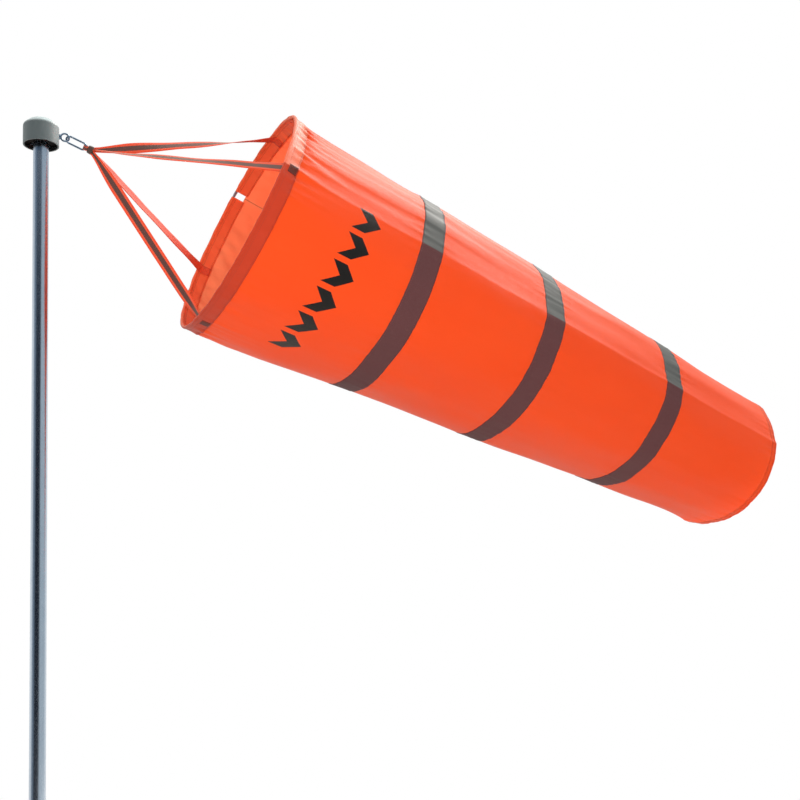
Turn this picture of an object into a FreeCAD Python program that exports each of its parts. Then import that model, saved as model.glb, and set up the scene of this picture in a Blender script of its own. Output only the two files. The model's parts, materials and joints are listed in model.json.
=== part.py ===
import FreeCAD, Part
import math
import os
import Sketcher

# Windsock on a mast: a tubular mast carries a turning head on two ball bearings.
# A spring snap on the head's eye holds the four straps of a tapered fabric sock.
# Millimetres. The origin is the centre of the mast's foot, +Z runs up the mast
# and the sock flies along +X, drooping towards -Z.

doc = FreeCAD.newDocument("windsock")
sizes = doc.addObject("Spreadsheet::Sheet", "Sizes")

SIZES = (
    ("mast_length", 2200, "length of the mast tube"),
    ("mast_od", 30, "outer diameter of the mast tube"),
    ("mast_id", 26, "inner diameter of the mast tube"),
    ("socket_id", 26.6, "reamed socket in the foot, for a 26 mm spigot"),
    ("socket_depth", 120, "depth of the reamed socket"),
    ("cap_overlap", 4, "how far the mast's top reaches above the cap's rim"),
    ("cap_od", 69, "outer diameter of the head cap"),
    ("cap_wall", 3, "side wall of the head cap"),
    ("cap_side", 41.5, "height of the cap's straight side"),
    ("cap_shoulder", 53.5, "height of the cap's shoulder"),
    ("cap_height", 55, "height of the cap's crown"),
    ("crown_rad", 21, "radius where the crown starts"),
    ("shoulder_round", 9, "rounding of the cap's shoulder"),
    ("cavity_top", 39.5, "height of the roof inside the cap"),
    ("hub_od", 35, "outer diameter of the bearing hub inside the cap"),
    ("nut_room_dia", 22, "bore above the bearings, round the nut"),
    ("nut_room_top", 48, "roof of the bore above the bearings"),
    ("plate_dia", 60, "diameter of the retainer plate"),
    ("plate_hole", 18, "hole in the retainer plate"),
    ("plate_gap", 8.5, "height of the retainer plate above the cap's rim"),
    ("plate_thick", 2.5, "thickness of the retainer plate"),
    ("pillar_circle", 48, "circle of the four screw pillars"),
    ("pillar_dia", 9, "diameter of a screw pillar"),
    ("screw_dia", 2.8, "diameter of a retainer screw"),
    ("screw_head_dia", 5.6, "head diameter of a retainer screw"),
    ("screw_head_high", 2, "head height of a retainer screw"),
    ("screw_length", 12, "length of a retainer screw under its head"),
    ("plug_length", 45, "length of the mast plug inside the tube"),
    ("plug_flange", 3, "flange thickness of the mast plug"),
    ("press_gap", 0.02, "gap of the plug's two press fits, on the radius"),
    ("bearing_bore", 10, "bore of a bearing"),
    ("bearing_od", 26, "outer diameter of a bearing"),
    ("bearing_width", 8, "width of a bearing"),
    ("inner_race_od", 14.8, "outer diameter of the inner race"),
    ("outer_race_id", 21.2, "inner diameter of the outer race"),
    ("ball_dia", 4.76, "diameter of a ball"),
    ("ball_circle", 18, "circle of the balls' centres"),
    ("groove_rad", 2.45, "radius of the races' grooves"),
    ("cage_inset", 1.2, "depth of the cage below each face of its bearing"),
    ("cage_wall", 1.4, "wall of the cage"),
    ("cage_room_dia", 4.96, "hole in the cage round a ball"),
    ("bearing_spacing", 6, "length of the spacers between the bearings"),
    ("spindle_foot", 24, "depth of the spindle in the plug, below the cap's rim"),
    ("spindle_shoulder", 14, "shoulder diameter under the lower bearing"),
    ("spindle_top", 45, "top of the spindle above the cap's rim"),
    ("washer_thick", 1.5, "thickness of the spindle washer"),
    ("washer_od", 18, "outer diameter of the spindle washer"),
    ("nut_high", 8, "height of the spindle nut"),
    ("nut_flats", 17, "width across the flats of the spindle nut"),
    ("eye_height", 24, "height of the eye above the cap's rim"),
    ("eye_reach", 46, "distance from the mast's axis to the eye's centre"),
    ("eye_od", 20, "outer diameter of the eye"),
    ("eye_wire", 3.8, "wire diameter of the eye"),
    ("eye_shank", 6, "shank diameter of the eye bolt"),
    ("eye_tip", 20, "distance from the mast's axis to the shank's inner end"),
    ("eye_collar_dia", 11, "collar diameter of the eye bolt"),
    ("eye_collar_long", 2.1, "length of the collar between the cap and the eye"),
    ("eye_washer_od", 12, "outer diameter of the eye washer"),
    ("eye_washer_thick", 1.5, "thickness of the eye washer"),
    ("eye_nut_flats", 10, "width across the flats of the eye nut"),
    ("eye_nut_high", 5, "height of the eye nut"),
    ("snap_length", 45, "outer length of the snap"),
    ("snap_width", 20, "outer width of the snap"),
    ("snap_wire", 4, "wire diameter of the snap"),
    ("snap_start", 3.4, "eye's centre to the wire's centre at the snap's near end"),
    ("snap_roll", 145, "how far the snap lies rolled about its length"),
    ("gate_pin_dia", 1.2, "diameter of the gate's pin"),
    ("gate_slot", 1.6, "slot in the gate's fork"),
    ("gate_tongue", 1.2, "thickness of the tongue in the slot"),
    ("tongue_width", 3.6, "width of the tongue"),
    ("droop", 21.5, "angle of the sock's axis below the horizontal"),
    ("mouth_reach", 383.6, "eye's centre to the centre of the mouth"),
    ("strap_apex", 332.6, "mouth to the point where the straps meet"),
    ("strap_width", 22, "width of a strap"),
    ("strap_thick", 1.2, "thickness of a strap"),
    ("strap_turn", 80, "angle of the first strap from the top, to the near side"),
    ("gather_width", 9, "width of the sewn gather in the snap"),
    ("gather_half", 5.2, "half the height of the gather's loop"),
    ("gather_hole", 3.3, "half the height of the hole in the gather's loop"),
    ("gather_tail", 15, "length of the gather past the snap's end"),
    ("strap_skip", 19, "apex to the place where a strap leaves the gather"),
    ("sock_length", 1509.4, "length of the sock"),
    ("mouth_tilt", 2.5, "how much further the mouth's plane leans back at the top"),
    ("mouth_yaw", 1.15, "how far the mouth's axis is turned to the left"),
    ("mouth_dia", 530, "outer diameter over the hoop's hem"),
    ("front_dia", 526, "outer diameter of the cloth at the mouth"),
    ("tail_dia", 378, "outer diameter of the cloth at the tail"),
    ("cloth_thick", 1.2, "thickness of the cloth as a solid"),
    ("hem_length", 35, "length of the mouth hem"),
    ("hem_tube_dia", 8.6, "diameter of the hem's pocket round the hoop"),
    ("hem_pocket_dia", 5.4, "hole of the pocket round the hoop"),
    ("hem_proud", 0.6, "how far the hem stands above the cloth"),
    ("hoop_wire", 5, "wire diameter of the hoop"),
    ("hoop_gap_turn", 307, "angle of the hoop's joint from the top, to the near side"),
    ("notch_sweep", 3.5, "angle of the notch in the hem at the hoop's joint"),
    ("connector_sweep", 3, "angle that the connector covers"),
    ("connector_dia", 7.8, "outer diameter of the connector"),
    ("tape_width", 56, "width of a reflective band"),
    ("first_tape", 347.4, "mouth to the first band"),
    ("second_tape", 699.4, "mouth to the second band"),
    ("third_tape", 1094.4, "mouth to the third band"),
    ("tape_proud", 0.4, "how far a band stands above the cloth"),
    ("fold_gap", 0.5, "gap where one length of the sock bends against the next"),
    ("tail_hem", 20, "length of the tail hem"),
)

for row, (alias, value, meaning) in enumerate(SIZES, start=1):
    sizes.set("A%d" % row, meaning)
    sizes.set("B%d" % row, str(value))
    sizes.setAlias("B%d" % row, alias)
doc.recompute()


def size(alias):
    return float(sizes.get(alias))


def vector(x, y, z):
    return FreeCAD.Vector(x, y, z)


# ---------------------------------------------------------------- frames

RIM = size("mast_length") - size("cap_overlap")
DROOP = math.radians(size("droop"))
AXIS = vector(math.cos(DROOP), 0, -math.sin(DROOP))
EYE = vector(size("eye_reach"), 0, RIM + size("eye_height"))
MOUTH = EYE + AXIS * size("mouth_reach")


def upright(height):
    """Frame on the mast's axis, height above the cap's rim."""
    return FreeCAD.Placement(vector(0, 0, RIM + height), FreeCAD.Rotation())


def along_sock(start):
    """Frame on the sock's axis: local Z runs to the tail, local -X is the top."""
    turn = FreeCAD.Rotation(vector(0, 1, 0), 90 + size("droop"))
    return FreeCAD.Placement(MOUTH + AXIS * start, turn)


def facing(direction, across):
    """Turn whose local Z is direction and whose local X is as near across as can be."""
    return FreeCAD.Rotation(across, vector(0, 0, 0), direction, "ZXY")


def at_mouth(start):
    """Frame on the mouth's own axis, which leans a little from the sock's axis."""
    lean = DROOP + math.radians(size("mouth_tilt"))
    yaw = math.radians(size("mouth_yaw"))
    ahead = vector(math.cos(lean) * math.cos(yaw), math.sin(yaw), -math.sin(lean) * math.cos(yaw))
    downwards = vector(-math.sin(DROOP), 0, -math.cos(DROOP))
    return FreeCAD.Placement(MOUTH + ahead * start, facing(ahead, downwards))


def in_snap():
    """Frame at the eye's centre: local X runs along the snap, local Z is its normal."""
    lean = FreeCAD.Rotation(vector(0, 1, 0), size("droop"))
    roll = FreeCAD.Rotation(vector(1, 0, 0), size("snap_roll"))
    return FreeCAD.Placement(EYE, lean.multiply(roll))


# ---------------------------------------------------------------- builders

NODES = []


def keep(name, made):
    made.Label = name
    NODES.append(made)
    return made


def plane(body, role):
    for feature in body.Origin.OriginFeatures:
        if feature.Role == role:
            return feature
    raise ValueError(role)


def sketch_on(body, role, offset="0"):
    sketch = body.newObject("Sketcher::SketchObject", "Sketch")
    sketch.AttachmentSupport = [(plane(body, role), "")]
    sketch.MapMode = "FlatFace"
    sketch.setExpression("AttachmentOffset.Base.z", offset)
    return sketch


def drive(sketch, kind, geometry, point, expression):
    """Holds a point's X or Y at an expression of the sheet's sizes."""
    if expression == "0":
        axis = -2 if kind == "DistanceX" else -1
        sketch.addConstraint(Sketcher.Constraint("PointOnObject", geometry, point, axis))
        return
    index = sketch.addConstraint(Sketcher.Constraint(kind, -1, 1, geometry, point, 1.0))
    sketch.setExpression("Constraints[%d]" % index, expression)


def outline(sketch, corners):
    """Closed outline; each corner is a pair of expressions."""
    count = len(corners)
    spots = [vector(20 + 9 * math.cos(6.283 * i / count), 20 + 9 * math.sin(6.283 * i / count), 0)
             for i in range(count)]
    for i in range(count):
        sketch.addGeometry(Part.LineSegment(spots[i], spots[(i + 1) % count]))
    for i in range(count):
        sketch.addConstraint(Sketcher.Constraint("Coincident", i, 2, (i + 1) % count, 1))
    for i, (across, along) in enumerate(corners):
        drive(sketch, "DistanceX", i, 1, across)
        drive(sketch, "DistanceY", i, 1, along)


def round_hole(sketch, across, along, diameter):
    at = sketch.addGeometry(Part.Circle(vector(5, 5, 0), vector(0, 0, 1), 3))
    drive(sketch, "DistanceX", at, 3, across)
    drive(sketch, "DistanceY", at, 3, along)
    index = sketch.addConstraint(Sketcher.Constraint("Diameter", at, 6))
    sketch.setExpression("Constraints[%d]" % index, diameter)


def new_body(name):
    return doc.addObject("PartDesign::Body", name)


def lathed(name, corners, placement, grooves=()):
    """Piece of revolution about its own Z; grooves are (radius, height, diameter)."""
    body = new_body(name)
    sketch = sketch_on(body, "XZ_Plane")
    outline(sketch, corners)
    lathe = body.newObject("PartDesign::Revolution", "Turned")
    lathe.Profile = sketch
    lathe.ReferenceAxis = (sketch, ["V_Axis"])
    lathe.Angle = 360
    doc.recompute()
    for radius, height, diameter in grooves:
        track = sketch_on(body, "XZ_Plane")
        round_hole(track, radius, height, diameter)
        cut = body.newObject("PartDesign::Groove", "Track")
        cut.Profile = track
        cut.ReferenceAxis = (track, ["V_Axis"])
        cut.Angle = 360
        doc.recompute()
    body.Placement = placement
    return body


def turned(name, corners, placement, grooves=()):
    return keep(name, lathed(name, corners, placement, grooves))


def four_times(body, features):
    pattern = body.newObject("PartDesign::PolarPattern", "FourTimes")
    pattern.Originals = features
    pattern.Axis = (plane(body, "Z_Axis"), [""])
    pattern.Angle = 360
    pattern.Occurrences = 4
    body.Tip = pattern
    doc.recompute()
    return pattern


def rod(name, diameter, length, placement):
    made = doc.addObject("Part::Cylinder", name)
    made.setExpression("Radius", "(%s) / 2" % diameter)
    made.setExpression("Height", length)
    made.Placement = placement
    return made


def hex_bar(name, flats, length, placement):
    made = doc.addObject("Part::Prism", name)
    made.Polygon = 6
    made.setExpression("Circumradius", "(%s) / sqrt(3)" % flats)
    made.setExpression("Height", length)
    made.Placement = placement
    return made


def block(name, length, width, height, placement):
    made = doc.addObject("Part::Box", name)
    made.setExpression("Length", length)
    made.setExpression("Width", width)
    made.setExpression("Height", height)
    made.Placement = placement
    return made


def torus(name, radius, wire, placement, sweep="360"):
    made = doc.addObject("Part::Torus", name)
    made.setExpression("Radius1", radius)
    made.setExpression("Radius2", "(%s) / 2" % wire)
    made.setExpression("Angle3", sweep)
    made.Placement = placement
    return made


def joined(name, pieces):
    made = doc.addObject("Part::MultiFuse", name)
    made.Shapes = pieces
    doc.recompute()
    return made


def cut_by(name, base, tool):
    made = doc.addObject("Part::Cut", name)
    made.Base = base
    made.Tool = tool
    doc.recompute()
    return made


def together(name, pieces):
    made = doc.addObject("Part::Compound", name)
    made.Links = pieces
    doc.recompute()
    return made


def moved(placement, x=0.0, y=0.0, z=0.0, axis=(0, 0, 1), turn=0.0):
    """A frame shifted, then turned, inside another frame."""
    local = FreeCAD.Placement(vector(x, y, z), FreeCAD.Rotation(vector(*axis), turn))
    return placement.multiply(local)


# ---------------------------------------------------------------- mast

turned("mast_tube", (
    ("Sizes.socket_id / 2", "0"),
    ("Sizes.mast_od / 2", "0"),
    ("Sizes.mast_od / 2", "Sizes.mast_length"),
    ("Sizes.mast_id / 2", "Sizes.mast_length"),
    ("Sizes.mast_id / 2", "Sizes.socket_depth"),
    ("Sizes.socket_id / 2", "Sizes.socket_depth"),
), FreeCAD.Placement())

PLUG_TOP = "Sizes.plug_length + Sizes.plug_flange"
turned("mast_plug", (
    ("Sizes.bearing_bore / 2 + Sizes.press_gap", "0"),
    ("Sizes.mast_id / 2 - Sizes.press_gap", "0"),
    ("Sizes.mast_id / 2 - Sizes.press_gap", "Sizes.plug_length"),
    ("Sizes.mast_od / 2", "Sizes.plug_length"),
    ("Sizes.mast_od / 2", PLUG_TOP),
    ("Sizes.bearing_bore / 2 + Sizes.press_gap", PLUG_TOP),
), upright(size("cap_overlap") - size("plug_length")))

FLANGE_TOP = "Sizes.spindle_foot + Sizes.cap_overlap + Sizes.plug_flange"
SEAT = "Sizes.spindle_foot + Sizes.plate_gap + Sizes.plate_thick"
SPINDLE_END = "Sizes.spindle_foot + Sizes.spindle_top"
turned("spindle", (
    ("0", "0"),
    ("Sizes.bearing_bore / 2", "0"),
    ("Sizes.bearing_bore / 2", FLANGE_TOP),
    ("Sizes.spindle_shoulder / 2", FLANGE_TOP),
    ("Sizes.spindle_shoulder / 2", SEAT),
    ("Sizes.bearing_bore / 2", SEAT),
    ("Sizes.bearing_bore / 2", SPINDLE_END),
    ("0", SPINDLE_END),
), upright(-size("spindle_foot")))

# ---------------------------------------------------------------- bearings

BEARING_BASE = size("plate_gap") + size("plate_thick")
UPPER_BASE = BEARING_BASE + size("bearing_width") + size("bearing_spacing")
BALLS = 7
CAGE_TALL = "Sizes.bearing_width - 2 * Sizes.cage_inset"


def ring_of(name, inner, outer, tall, placement, grooves=()):
    corners = ((inner, "0"), (outer, "0"), (outer, tall), (inner, tall))
    return turned(name, corners, placement, grooves)


def ball_bearing(which, base):
    seat = upright(base)
    track = (("Sizes.ball_circle / 2", "Sizes.bearing_width / 2", "Sizes.groove_rad * 2"),)
    ring_of(which + "_inner_race", "Sizes.bearing_bore / 2", "Sizes.inner_race_od / 2",
            "Sizes.bearing_width", seat, track)
    ring_of(which + "_outer_race", "Sizes.outer_race_id / 2", "Sizes.bearing_od / 2",
            "Sizes.bearing_width", seat, track)
    balls = []
    rooms = []
    for index in range(BALLS):
        spoke = moved(seat, z=size("bearing_width") / 2, turn=360 * index / BALLS)
        ball = doc.addObject("Part::Sphere", "Ball")
        ball.setExpression("Radius", "Sizes.ball_dia / 2")
        ball.Placement = moved(spoke, x=size("ball_circle") / 2)
        balls.append(ball)
        outwards = moved(spoke, axis=(0, 1, 0), turn=90)
        rooms.append(rod("Room", "Sizes.cage_room_dia", "Sizes.ball_circle", outwards))
    keep(which + "_balls", together(which + "_balls", balls))
    low = moved(seat, z=size("cage_inset"))
    outside = rod("CageOutside", "Sizes.ball_circle + Sizes.cage_wall", CAGE_TALL, low)
    inside = rod("CageInside", "Sizes.ball_circle - Sizes.cage_wall", CAGE_TALL, low)
    band = cut_by("CageBand", outside, inside)
    keep(which + "_cage", cut_by(which + "_cage", band, together("Rooms", rooms)))


ball_bearing("lower", BEARING_BASE)
ball_bearing("upper", UPPER_BASE)

SPACER_BASE = upright(BEARING_BASE + size("bearing_width"))
ring_of("inner_spacer", "Sizes.bearing_bore / 2", "Sizes.inner_race_od / 2 - 0.6",
        "Sizes.bearing_spacing", SPACER_BASE)
ring_of("outer_spacer", "Sizes.outer_race_id / 2 + 0.6", "Sizes.bearing_od / 2",
        "Sizes.bearing_spacing", SPACER_BASE)

WASHER_BASE = UPPER_BASE + size("bearing_width")
ring_of("spindle_washer", "Sizes.bearing_bore / 2", "Sizes.inner_race_od / 2",
        "Sizes.washer_thick", upright(WASHER_BASE))
NUT_BASE = upright(WASHER_BASE + size("washer_thick"))
keep("spindle_nut", cut_by(
    "spindle_nut",
    hex_bar("NutBar", "Sizes.nut_flats", "Sizes.nut_high", NUT_BASE),
    rod("NutBore", "Sizes.bearing_bore", "Sizes.nut_high", NUT_BASE)))

# ---------------------------------------------------------------- head cap

HUB_FOOT = "Sizes.plate_gap + Sizes.plate_thick"
HUB_LEDGE = HUB_FOOT + " + 2 * Sizes.bearing_width + Sizes.bearing_spacing"
INSIDE = "Sizes.cap_od / 2 - Sizes.cap_wall"
cap = turned("head_cap", (
    (INSIDE, "0"),
    ("Sizes.cap_od / 2", "0"),
    ("Sizes.cap_od / 2", "Sizes.cap_side"),
    ("Sizes.crown_rad", "Sizes.cap_shoulder"),
    ("0", "Sizes.cap_height"),
    ("0", "Sizes.nut_room_top"),
    ("Sizes.nut_room_dia / 2", "Sizes.nut_room_top"),
    ("Sizes.nut_room_dia / 2", HUB_LEDGE),
    ("Sizes.bearing_od / 2", HUB_LEDGE),
    ("Sizes.bearing_od / 2", HUB_FOOT),
    ("Sizes.hub_od / 2", HUB_FOOT),
    ("Sizes.hub_od / 2", "Sizes.cavity_top"),
    (INSIDE, "Sizes.cavity_top"),
), upright(0))


def circle_edges(shape, radius, height):
    """Names of the circular edges of one radius at one height."""
    names = []
    for index, edge in enumerate(shape.Edges, start=1):
        if not isinstance(edge.Curve, Part.Circle):
            continue
        if abs(edge.Curve.Radius - radius) < 0.01 and abs(edge.Curve.Center.z - height) < 0.01:
            names.append("Edge%d" % index)
    return names


def rounded(body, radius, height, expression):
    """Rounds the circular edges of one radius and height, in the body's own frame."""
    last = body.Tip
    names = circle_edges(last.Shape, radius, height)
    if not names:
        raise ValueError("no edge to round on " + body.Label)
    softened = body.newObject("PartDesign::Fillet", "Rounded")
    softened.Base = (last, names)
    softened.setExpression("Radius", expression)
    doc.recompute()


rounded(cap, size("cap_od") / 2, size("cap_side"), "Sizes.shoulder_round")
rounded(cap, size("crown_rad"), size("cap_shoulder"), "Sizes.shoulder_round * 1.6")

HALF_SQUARE = "Sizes.pillar_circle / 2 * cos(45)"
pillar_sketch = sketch_on(cap, "XY_Plane", HUB_FOOT)
round_hole(pillar_sketch, HALF_SQUARE, HALF_SQUARE, "Sizes.pillar_dia")
pillar = cap.newObject("PartDesign::Pad", "Pillar")
pillar.Profile = pillar_sketch
pillar.setExpression("Length", "Sizes.cavity_top + 0.5 - (%s)" % HUB_FOOT)
doc.recompute()
four_times(cap, [pillar])

pilot_sketch = sketch_on(cap, "XY_Plane", HUB_FOOT)
round_hole(pilot_sketch, HALF_SQUARE, HALF_SQUARE, "Sizes.screw_dia")
pilot = cap.newObject("PartDesign::Pocket", "Pilot")
pilot.Profile = pilot_sketch
pilot.Reversed = True
pilot.setExpression("Length", "Sizes.screw_length")
doc.recompute()
four_times(cap, [pilot])

shank_sketch = sketch_on(cap, "YZ_Plane", "Sizes.cap_od / 2 - Sizes.cap_wall * 2")
round_hole(shank_sketch, "0", "Sizes.eye_height", "Sizes.eye_shank + 0.2")
shank_hole = cap.newObject("PartDesign::Pocket", "ShankHole")
shank_hole.Profile = shank_sketch
shank_hole.Reversed = True
shank_hole.setExpression("Length", "Sizes.cap_wall * 3")
cap.Tip = shank_hole
doc.recompute()

# ---------------------------------------------------------------- retainer

plate = ring_of("retainer_plate", "Sizes.plate_hole / 2", "Sizes.plate_dia / 2",
                "Sizes.plate_thick", upright(size("plate_gap")))
clear_sketch = sketch_on(plate, "XY_Plane")
round_hole(clear_sketch, HALF_SQUARE, HALF_SQUARE, "Sizes.screw_dia + 0.4")
clear_hole = plate.newObject("PartDesign::Pocket", "ScrewHole")
clear_hole.Profile = clear_sketch
clear_hole.Reversed = True
clear_hole.setExpression("Length", "Sizes.plate_thick")
doc.recompute()
four_times(plate, [clear_hole])

screws = []
for quarter in range(4):
    stand = moved(upright(size("plate_gap")), axis=(0, 0, 1), turn=45 + 90 * quarter)
    stand = moved(stand, x=size("pillar_circle") / 2)
    under = moved(stand, z=-size("screw_head_high"))
    head = rod("ScrewHead", "Sizes.screw_head_dia", "Sizes.screw_head_high", under)
    shank = rod("ScrewShank", "Sizes.screw_dia", "Sizes.screw_length", stand)
    screws.append(joined("Screw", [head, shank]))
keep("retainer_screws", together("retainer_screws", screws))

# ---------------------------------------------------------------- eye bolt


def sideways(reach):
    """Frame at the eye's height whose local Z runs outwards along X."""
    turn = FreeCAD.Rotation(vector(0, 1, 0), 90)
    return FreeCAD.Placement(vector(reach, 0, RIM + size("eye_height")), turn)


EYE_COLLAR = size("cap_od") / 2 + 0.1
EYE_WASHER = size("cap_od") / 2 - size("cap_wall") - 0.6 - size("eye_washer_thick")
eye_frame = FreeCAD.Placement(EYE, FreeCAD.Rotation(vector(1, 0, 0), 90))
SHANK_LONG = "Sizes.eye_reach - Sizes.eye_od / 2 + 1 - Sizes.eye_tip"
keep("eye_bolt", joined("eye_bolt", [
    torus("EyeRing", "(Sizes.eye_od - Sizes.eye_wire) / 2", "Sizes.eye_wire", eye_frame),
    rod("EyeCollar", "Sizes.eye_collar_dia", "Sizes.eye_collar_long", sideways(EYE_COLLAR)),
    rod("EyeShank", "Sizes.eye_shank", SHANK_LONG, sideways(size("eye_tip"))),
]))
keep("eye_washer", cut_by(
    "eye_washer",
    rod("EyeWasherDisc", "Sizes.eye_washer_od", "Sizes.eye_washer_thick", sideways(EYE_WASHER)),
    rod("EyeWasherBore", "Sizes.eye_shank", "Sizes.eye_washer_thick", sideways(EYE_WASHER))))
EYE_NUT = sideways(EYE_WASHER - size("eye_nut_high"))
keep("eye_nut", cut_by(
    "eye_nut",
    hex_bar("EyeNutBar", "Sizes.eye_nut_flats", "Sizes.eye_nut_high", EYE_NUT),
    rod("EyeNutBore", "Sizes.eye_shank", "Sizes.eye_nut_high", EYE_NUT)))

# ---------------------------------------------------------------- spring snap

# The wire runs round a long loop. One long side is the gate, between the nose
# at the eye's end and a tongue near the straps' end.
SNAP = in_snap()
BEND = (size("snap_width") - size("snap_wire")) / 2
NEAR_BEND = size("snap_start") + BEND
FAR_BEND = size("snap_start") + size("snap_length") - size("snap_wire") - BEND
SNAP_APEX = FAR_BEND + BEND
NOSE = NEAR_BEND + 1.8
GATE_TIP = NOSE + 0.5
PIVOT = FAR_BEND - 4.4
STUB = PIVOT + 2.3
FORK = PIVOT - 2.6
THROUGH = 10


def in_plane(along, across):
    return vector(along, across, 0)


hook_body = new_body("snap_wire")
path = sketch_on(hook_body, "XY_Plane")
near_corners = (in_plane(NEAR_BEND, BEND), in_plane(NEAR_BEND - BEND, 0), in_plane(NEAR_BEND, -BEND))
far_corners = (in_plane(FAR_BEND, -BEND), in_plane(SNAP_APEX, 0), in_plane(FAR_BEND, BEND))
path.addGeometry(Part.LineSegment(in_plane(NOSE, BEND), near_corners[0]))
path.addGeometry(Part.Arc(*near_corners))
path.addGeometry(Part.LineSegment(near_corners[2], far_corners[0]))
path.addGeometry(Part.Arc(*far_corners))
path.addGeometry(Part.LineSegment(far_corners[2], in_plane(STUB, BEND)))
section = sketch_on(hook_body, "YZ_Plane", str(NOSE))
round_hole(section, "Sizes.snap_width / 2 - Sizes.snap_wire / 2", "0", "Sizes.snap_wire")
wire = hook_body.newObject("PartDesign::AdditivePipe", "Wire")
wire.Profile = section
wire.Spine = path
doc.recompute()
hook_body.Placement = SNAP

PIN_PROUD = 0.3
pin_frame = moved(SNAP, PIVOT, BEND, -size("snap_wire") / 2 - PIN_PROUD)
through_frame = moved(SNAP, PIVOT, BEND, -THROUGH / 2)
tongue_low = -size("gate_tongue") / 2
tongue_corner = moved(SNAP, PIVOT, BEND - size("tongue_width") / 2, tongue_low)
tongue_long = str(STUB + 0.5 - PIVOT)
tongue = block("Tongue", tongue_long, "Sizes.tongue_width", "Sizes.gate_tongue", tongue_corner)
tongue_end = rod("TongueEnd", "Sizes.tongue_width", "Sizes.gate_tongue",
                 moved(SNAP, PIVOT, BEND, tongue_low))
tongue_hole = rod("TongueHole", "Sizes.gate_pin_dia", str(THROUGH), through_frame)
hook_solid = joined("HookSolid", [hook_body, tongue, tongue_end])
keep("snap_hook", cut_by("snap_hook", hook_solid, tongue_hole))
keep("gate_pin", rod("gate_pin", "Sizes.gate_pin_dia", "Sizes.snap_wire + 0.6", pin_frame))

lying = moved(SNAP, GATE_TIP, BEND, 0, axis=(0, 1, 0), turn=90)
gate_bar = rod("GateBar", "Sizes.snap_wire", str(PIVOT - GATE_TIP), lying)
gate_heel = doc.addObject("Part::Sphere", "GateHeel")
gate_heel.setExpression("Radius", "Sizes.snap_wire / 2")
gate_heel.Placement = moved(SNAP, PIVOT, BEND, 0)
slot_corner = moved(SNAP, FORK, BEND - size("snap_wire") / 2 - 1, -size("gate_slot") / 2)
slot = block("GateSlot", "6", "Sizes.snap_wire + 2", "Sizes.gate_slot", slot_corner)
pin_hole = rod("GatePinHole", "Sizes.gate_pin_dia + 0.1", str(THROUGH), through_frame)
keep("snap_gate", cut_by("snap_gate", joined("GateSolid", [gate_bar, gate_heel]),
                         joined("GateCut", [slot, pin_hole])))

# ---------------------------------------------------------------- strap gather

# The four straps are sewn together into one loop round the snap's far bend.
LOOP_CENTRE = SNAP_APEX - 2.5
HOLE_END = SNAP_APEX + 0.4
GATHER_HALF_END = 3.0
GATHER_WIDTH = size("gather_width")
GATHER_END = SNAP_APEX + size("gather_tail")


def side_profile(points):
    """Face in the snap's own X-Z plane, extruded across the gather's width."""
    wire_made = Part.makePolygon([vector(x, 0, z) for x, z in points + points[:1]])
    return Part.Face(wire_made).extrude(vector(0, GATHER_WIDTH, 0))


def half_round(centre, radius, side):
    """Points of a half circle that bulges towards side (-1 or 1) along X."""
    turns = [math.pi * i / 12 for i in range(13)]
    return [(centre + side * radius * math.sin(t), radius * math.cos(t)) for t in turns]


outer_side = half_round(LOOP_CENTRE, size("gather_half"), -1)
outer_side += [(GATHER_END, -GATHER_HALF_END), (GATHER_END, GATHER_HALF_END)]
hole_side = half_round(LOOP_CENTRE, size("gather_hole"), -1)
hole_side += half_round(HOLE_END, size("gather_hole"), 1)[::-1]
gather = doc.addObject("Part::Feature", "strap_gather")
gather.Shape = side_profile(outer_side).cut(side_profile(hole_side))
gather.Placement = moved(SNAP, 0, -GATHER_WIDTH / 2, 0)
keep("strap_gather", gather)

# ---------------------------------------------------------------- straps

HOOP_RAD = (size("mouth_dia") - size("hem_tube_dia")) / 2
HOOP_SET = size("hem_tube_dia") / 2
STRAP_CLEAR = size("hem_tube_dia") / 2 + 1.0
APEX = along_sock(-size("strap_apex")).Base


def spoke(turn, start):
    """Frame on the mouth's axis whose local X points out at a turn from the top."""
    # Local X of the mouth points down, so the top is half a turn away.
    return moved(at_mouth(start), axis=(0, 0, 1), turn=180 + turn)


for index, name in enumerate(("near_top", "near_bottom", "far_bottom", "far_top")):
    fixing = moved(spoke(size("strap_turn") + 90 * index, HOOP_SET), x=HOOP_RAD)
    outwards = fixing.Rotation.multVec(vector(1, 0, 0))
    run = fixing.Base - APEX
    lean = FreeCAD.Placement(APEX, facing(run, outwards))
    start = moved(lean, -size("strap_thick") / 2, -size("strap_width") / 2, size("strap_skip"))
    length = str(run.Length - STRAP_CLEAR - size("strap_skip"))
    label = "strap_" + name
    keep(label, block(label, "Sizes.strap_thick", "Sizes.strap_width", length, start))

# ---------------------------------------------------------------- mouth

CIRCLE = str(HOOP_RAD)


def hoop_frame(offset):
    """Frame in the hoop's plane, turned by offset past the hoop's joint."""
    return spoke(size("hoop_gap_turn") + offset, HOOP_SET)


HOOP_SWEEP = 359.6
keep("hoop", torus("hoop", CIRCLE, "Sizes.hoop_wire", hoop_frame((360 - HOOP_SWEEP) / 2),
                   str(HOOP_SWEEP)))
joint_frame = hoop_frame(-size("connector_sweep") / 2)
keep("hoop_connector", cut_by(
    "hoop_connector",
    torus("SleeveOutside", CIRCLE, "Sizes.connector_dia", joint_frame, "Sizes.connector_sweep"),
    torus("SleeveInside", CIRCLE, "Sizes.hoop_wire + 0.1", hoop_frame(0))))

CLOTH_SLOPE = "(Sizes.front_dia - Sizes.tail_dia) / 2 / Sizes.sock_length"


def cloth_radius(start, extra):
    return "Sizes.front_dia / 2 - %s * (%s) + %s" % (CLOTH_SLOPE, start, extra)


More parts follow.
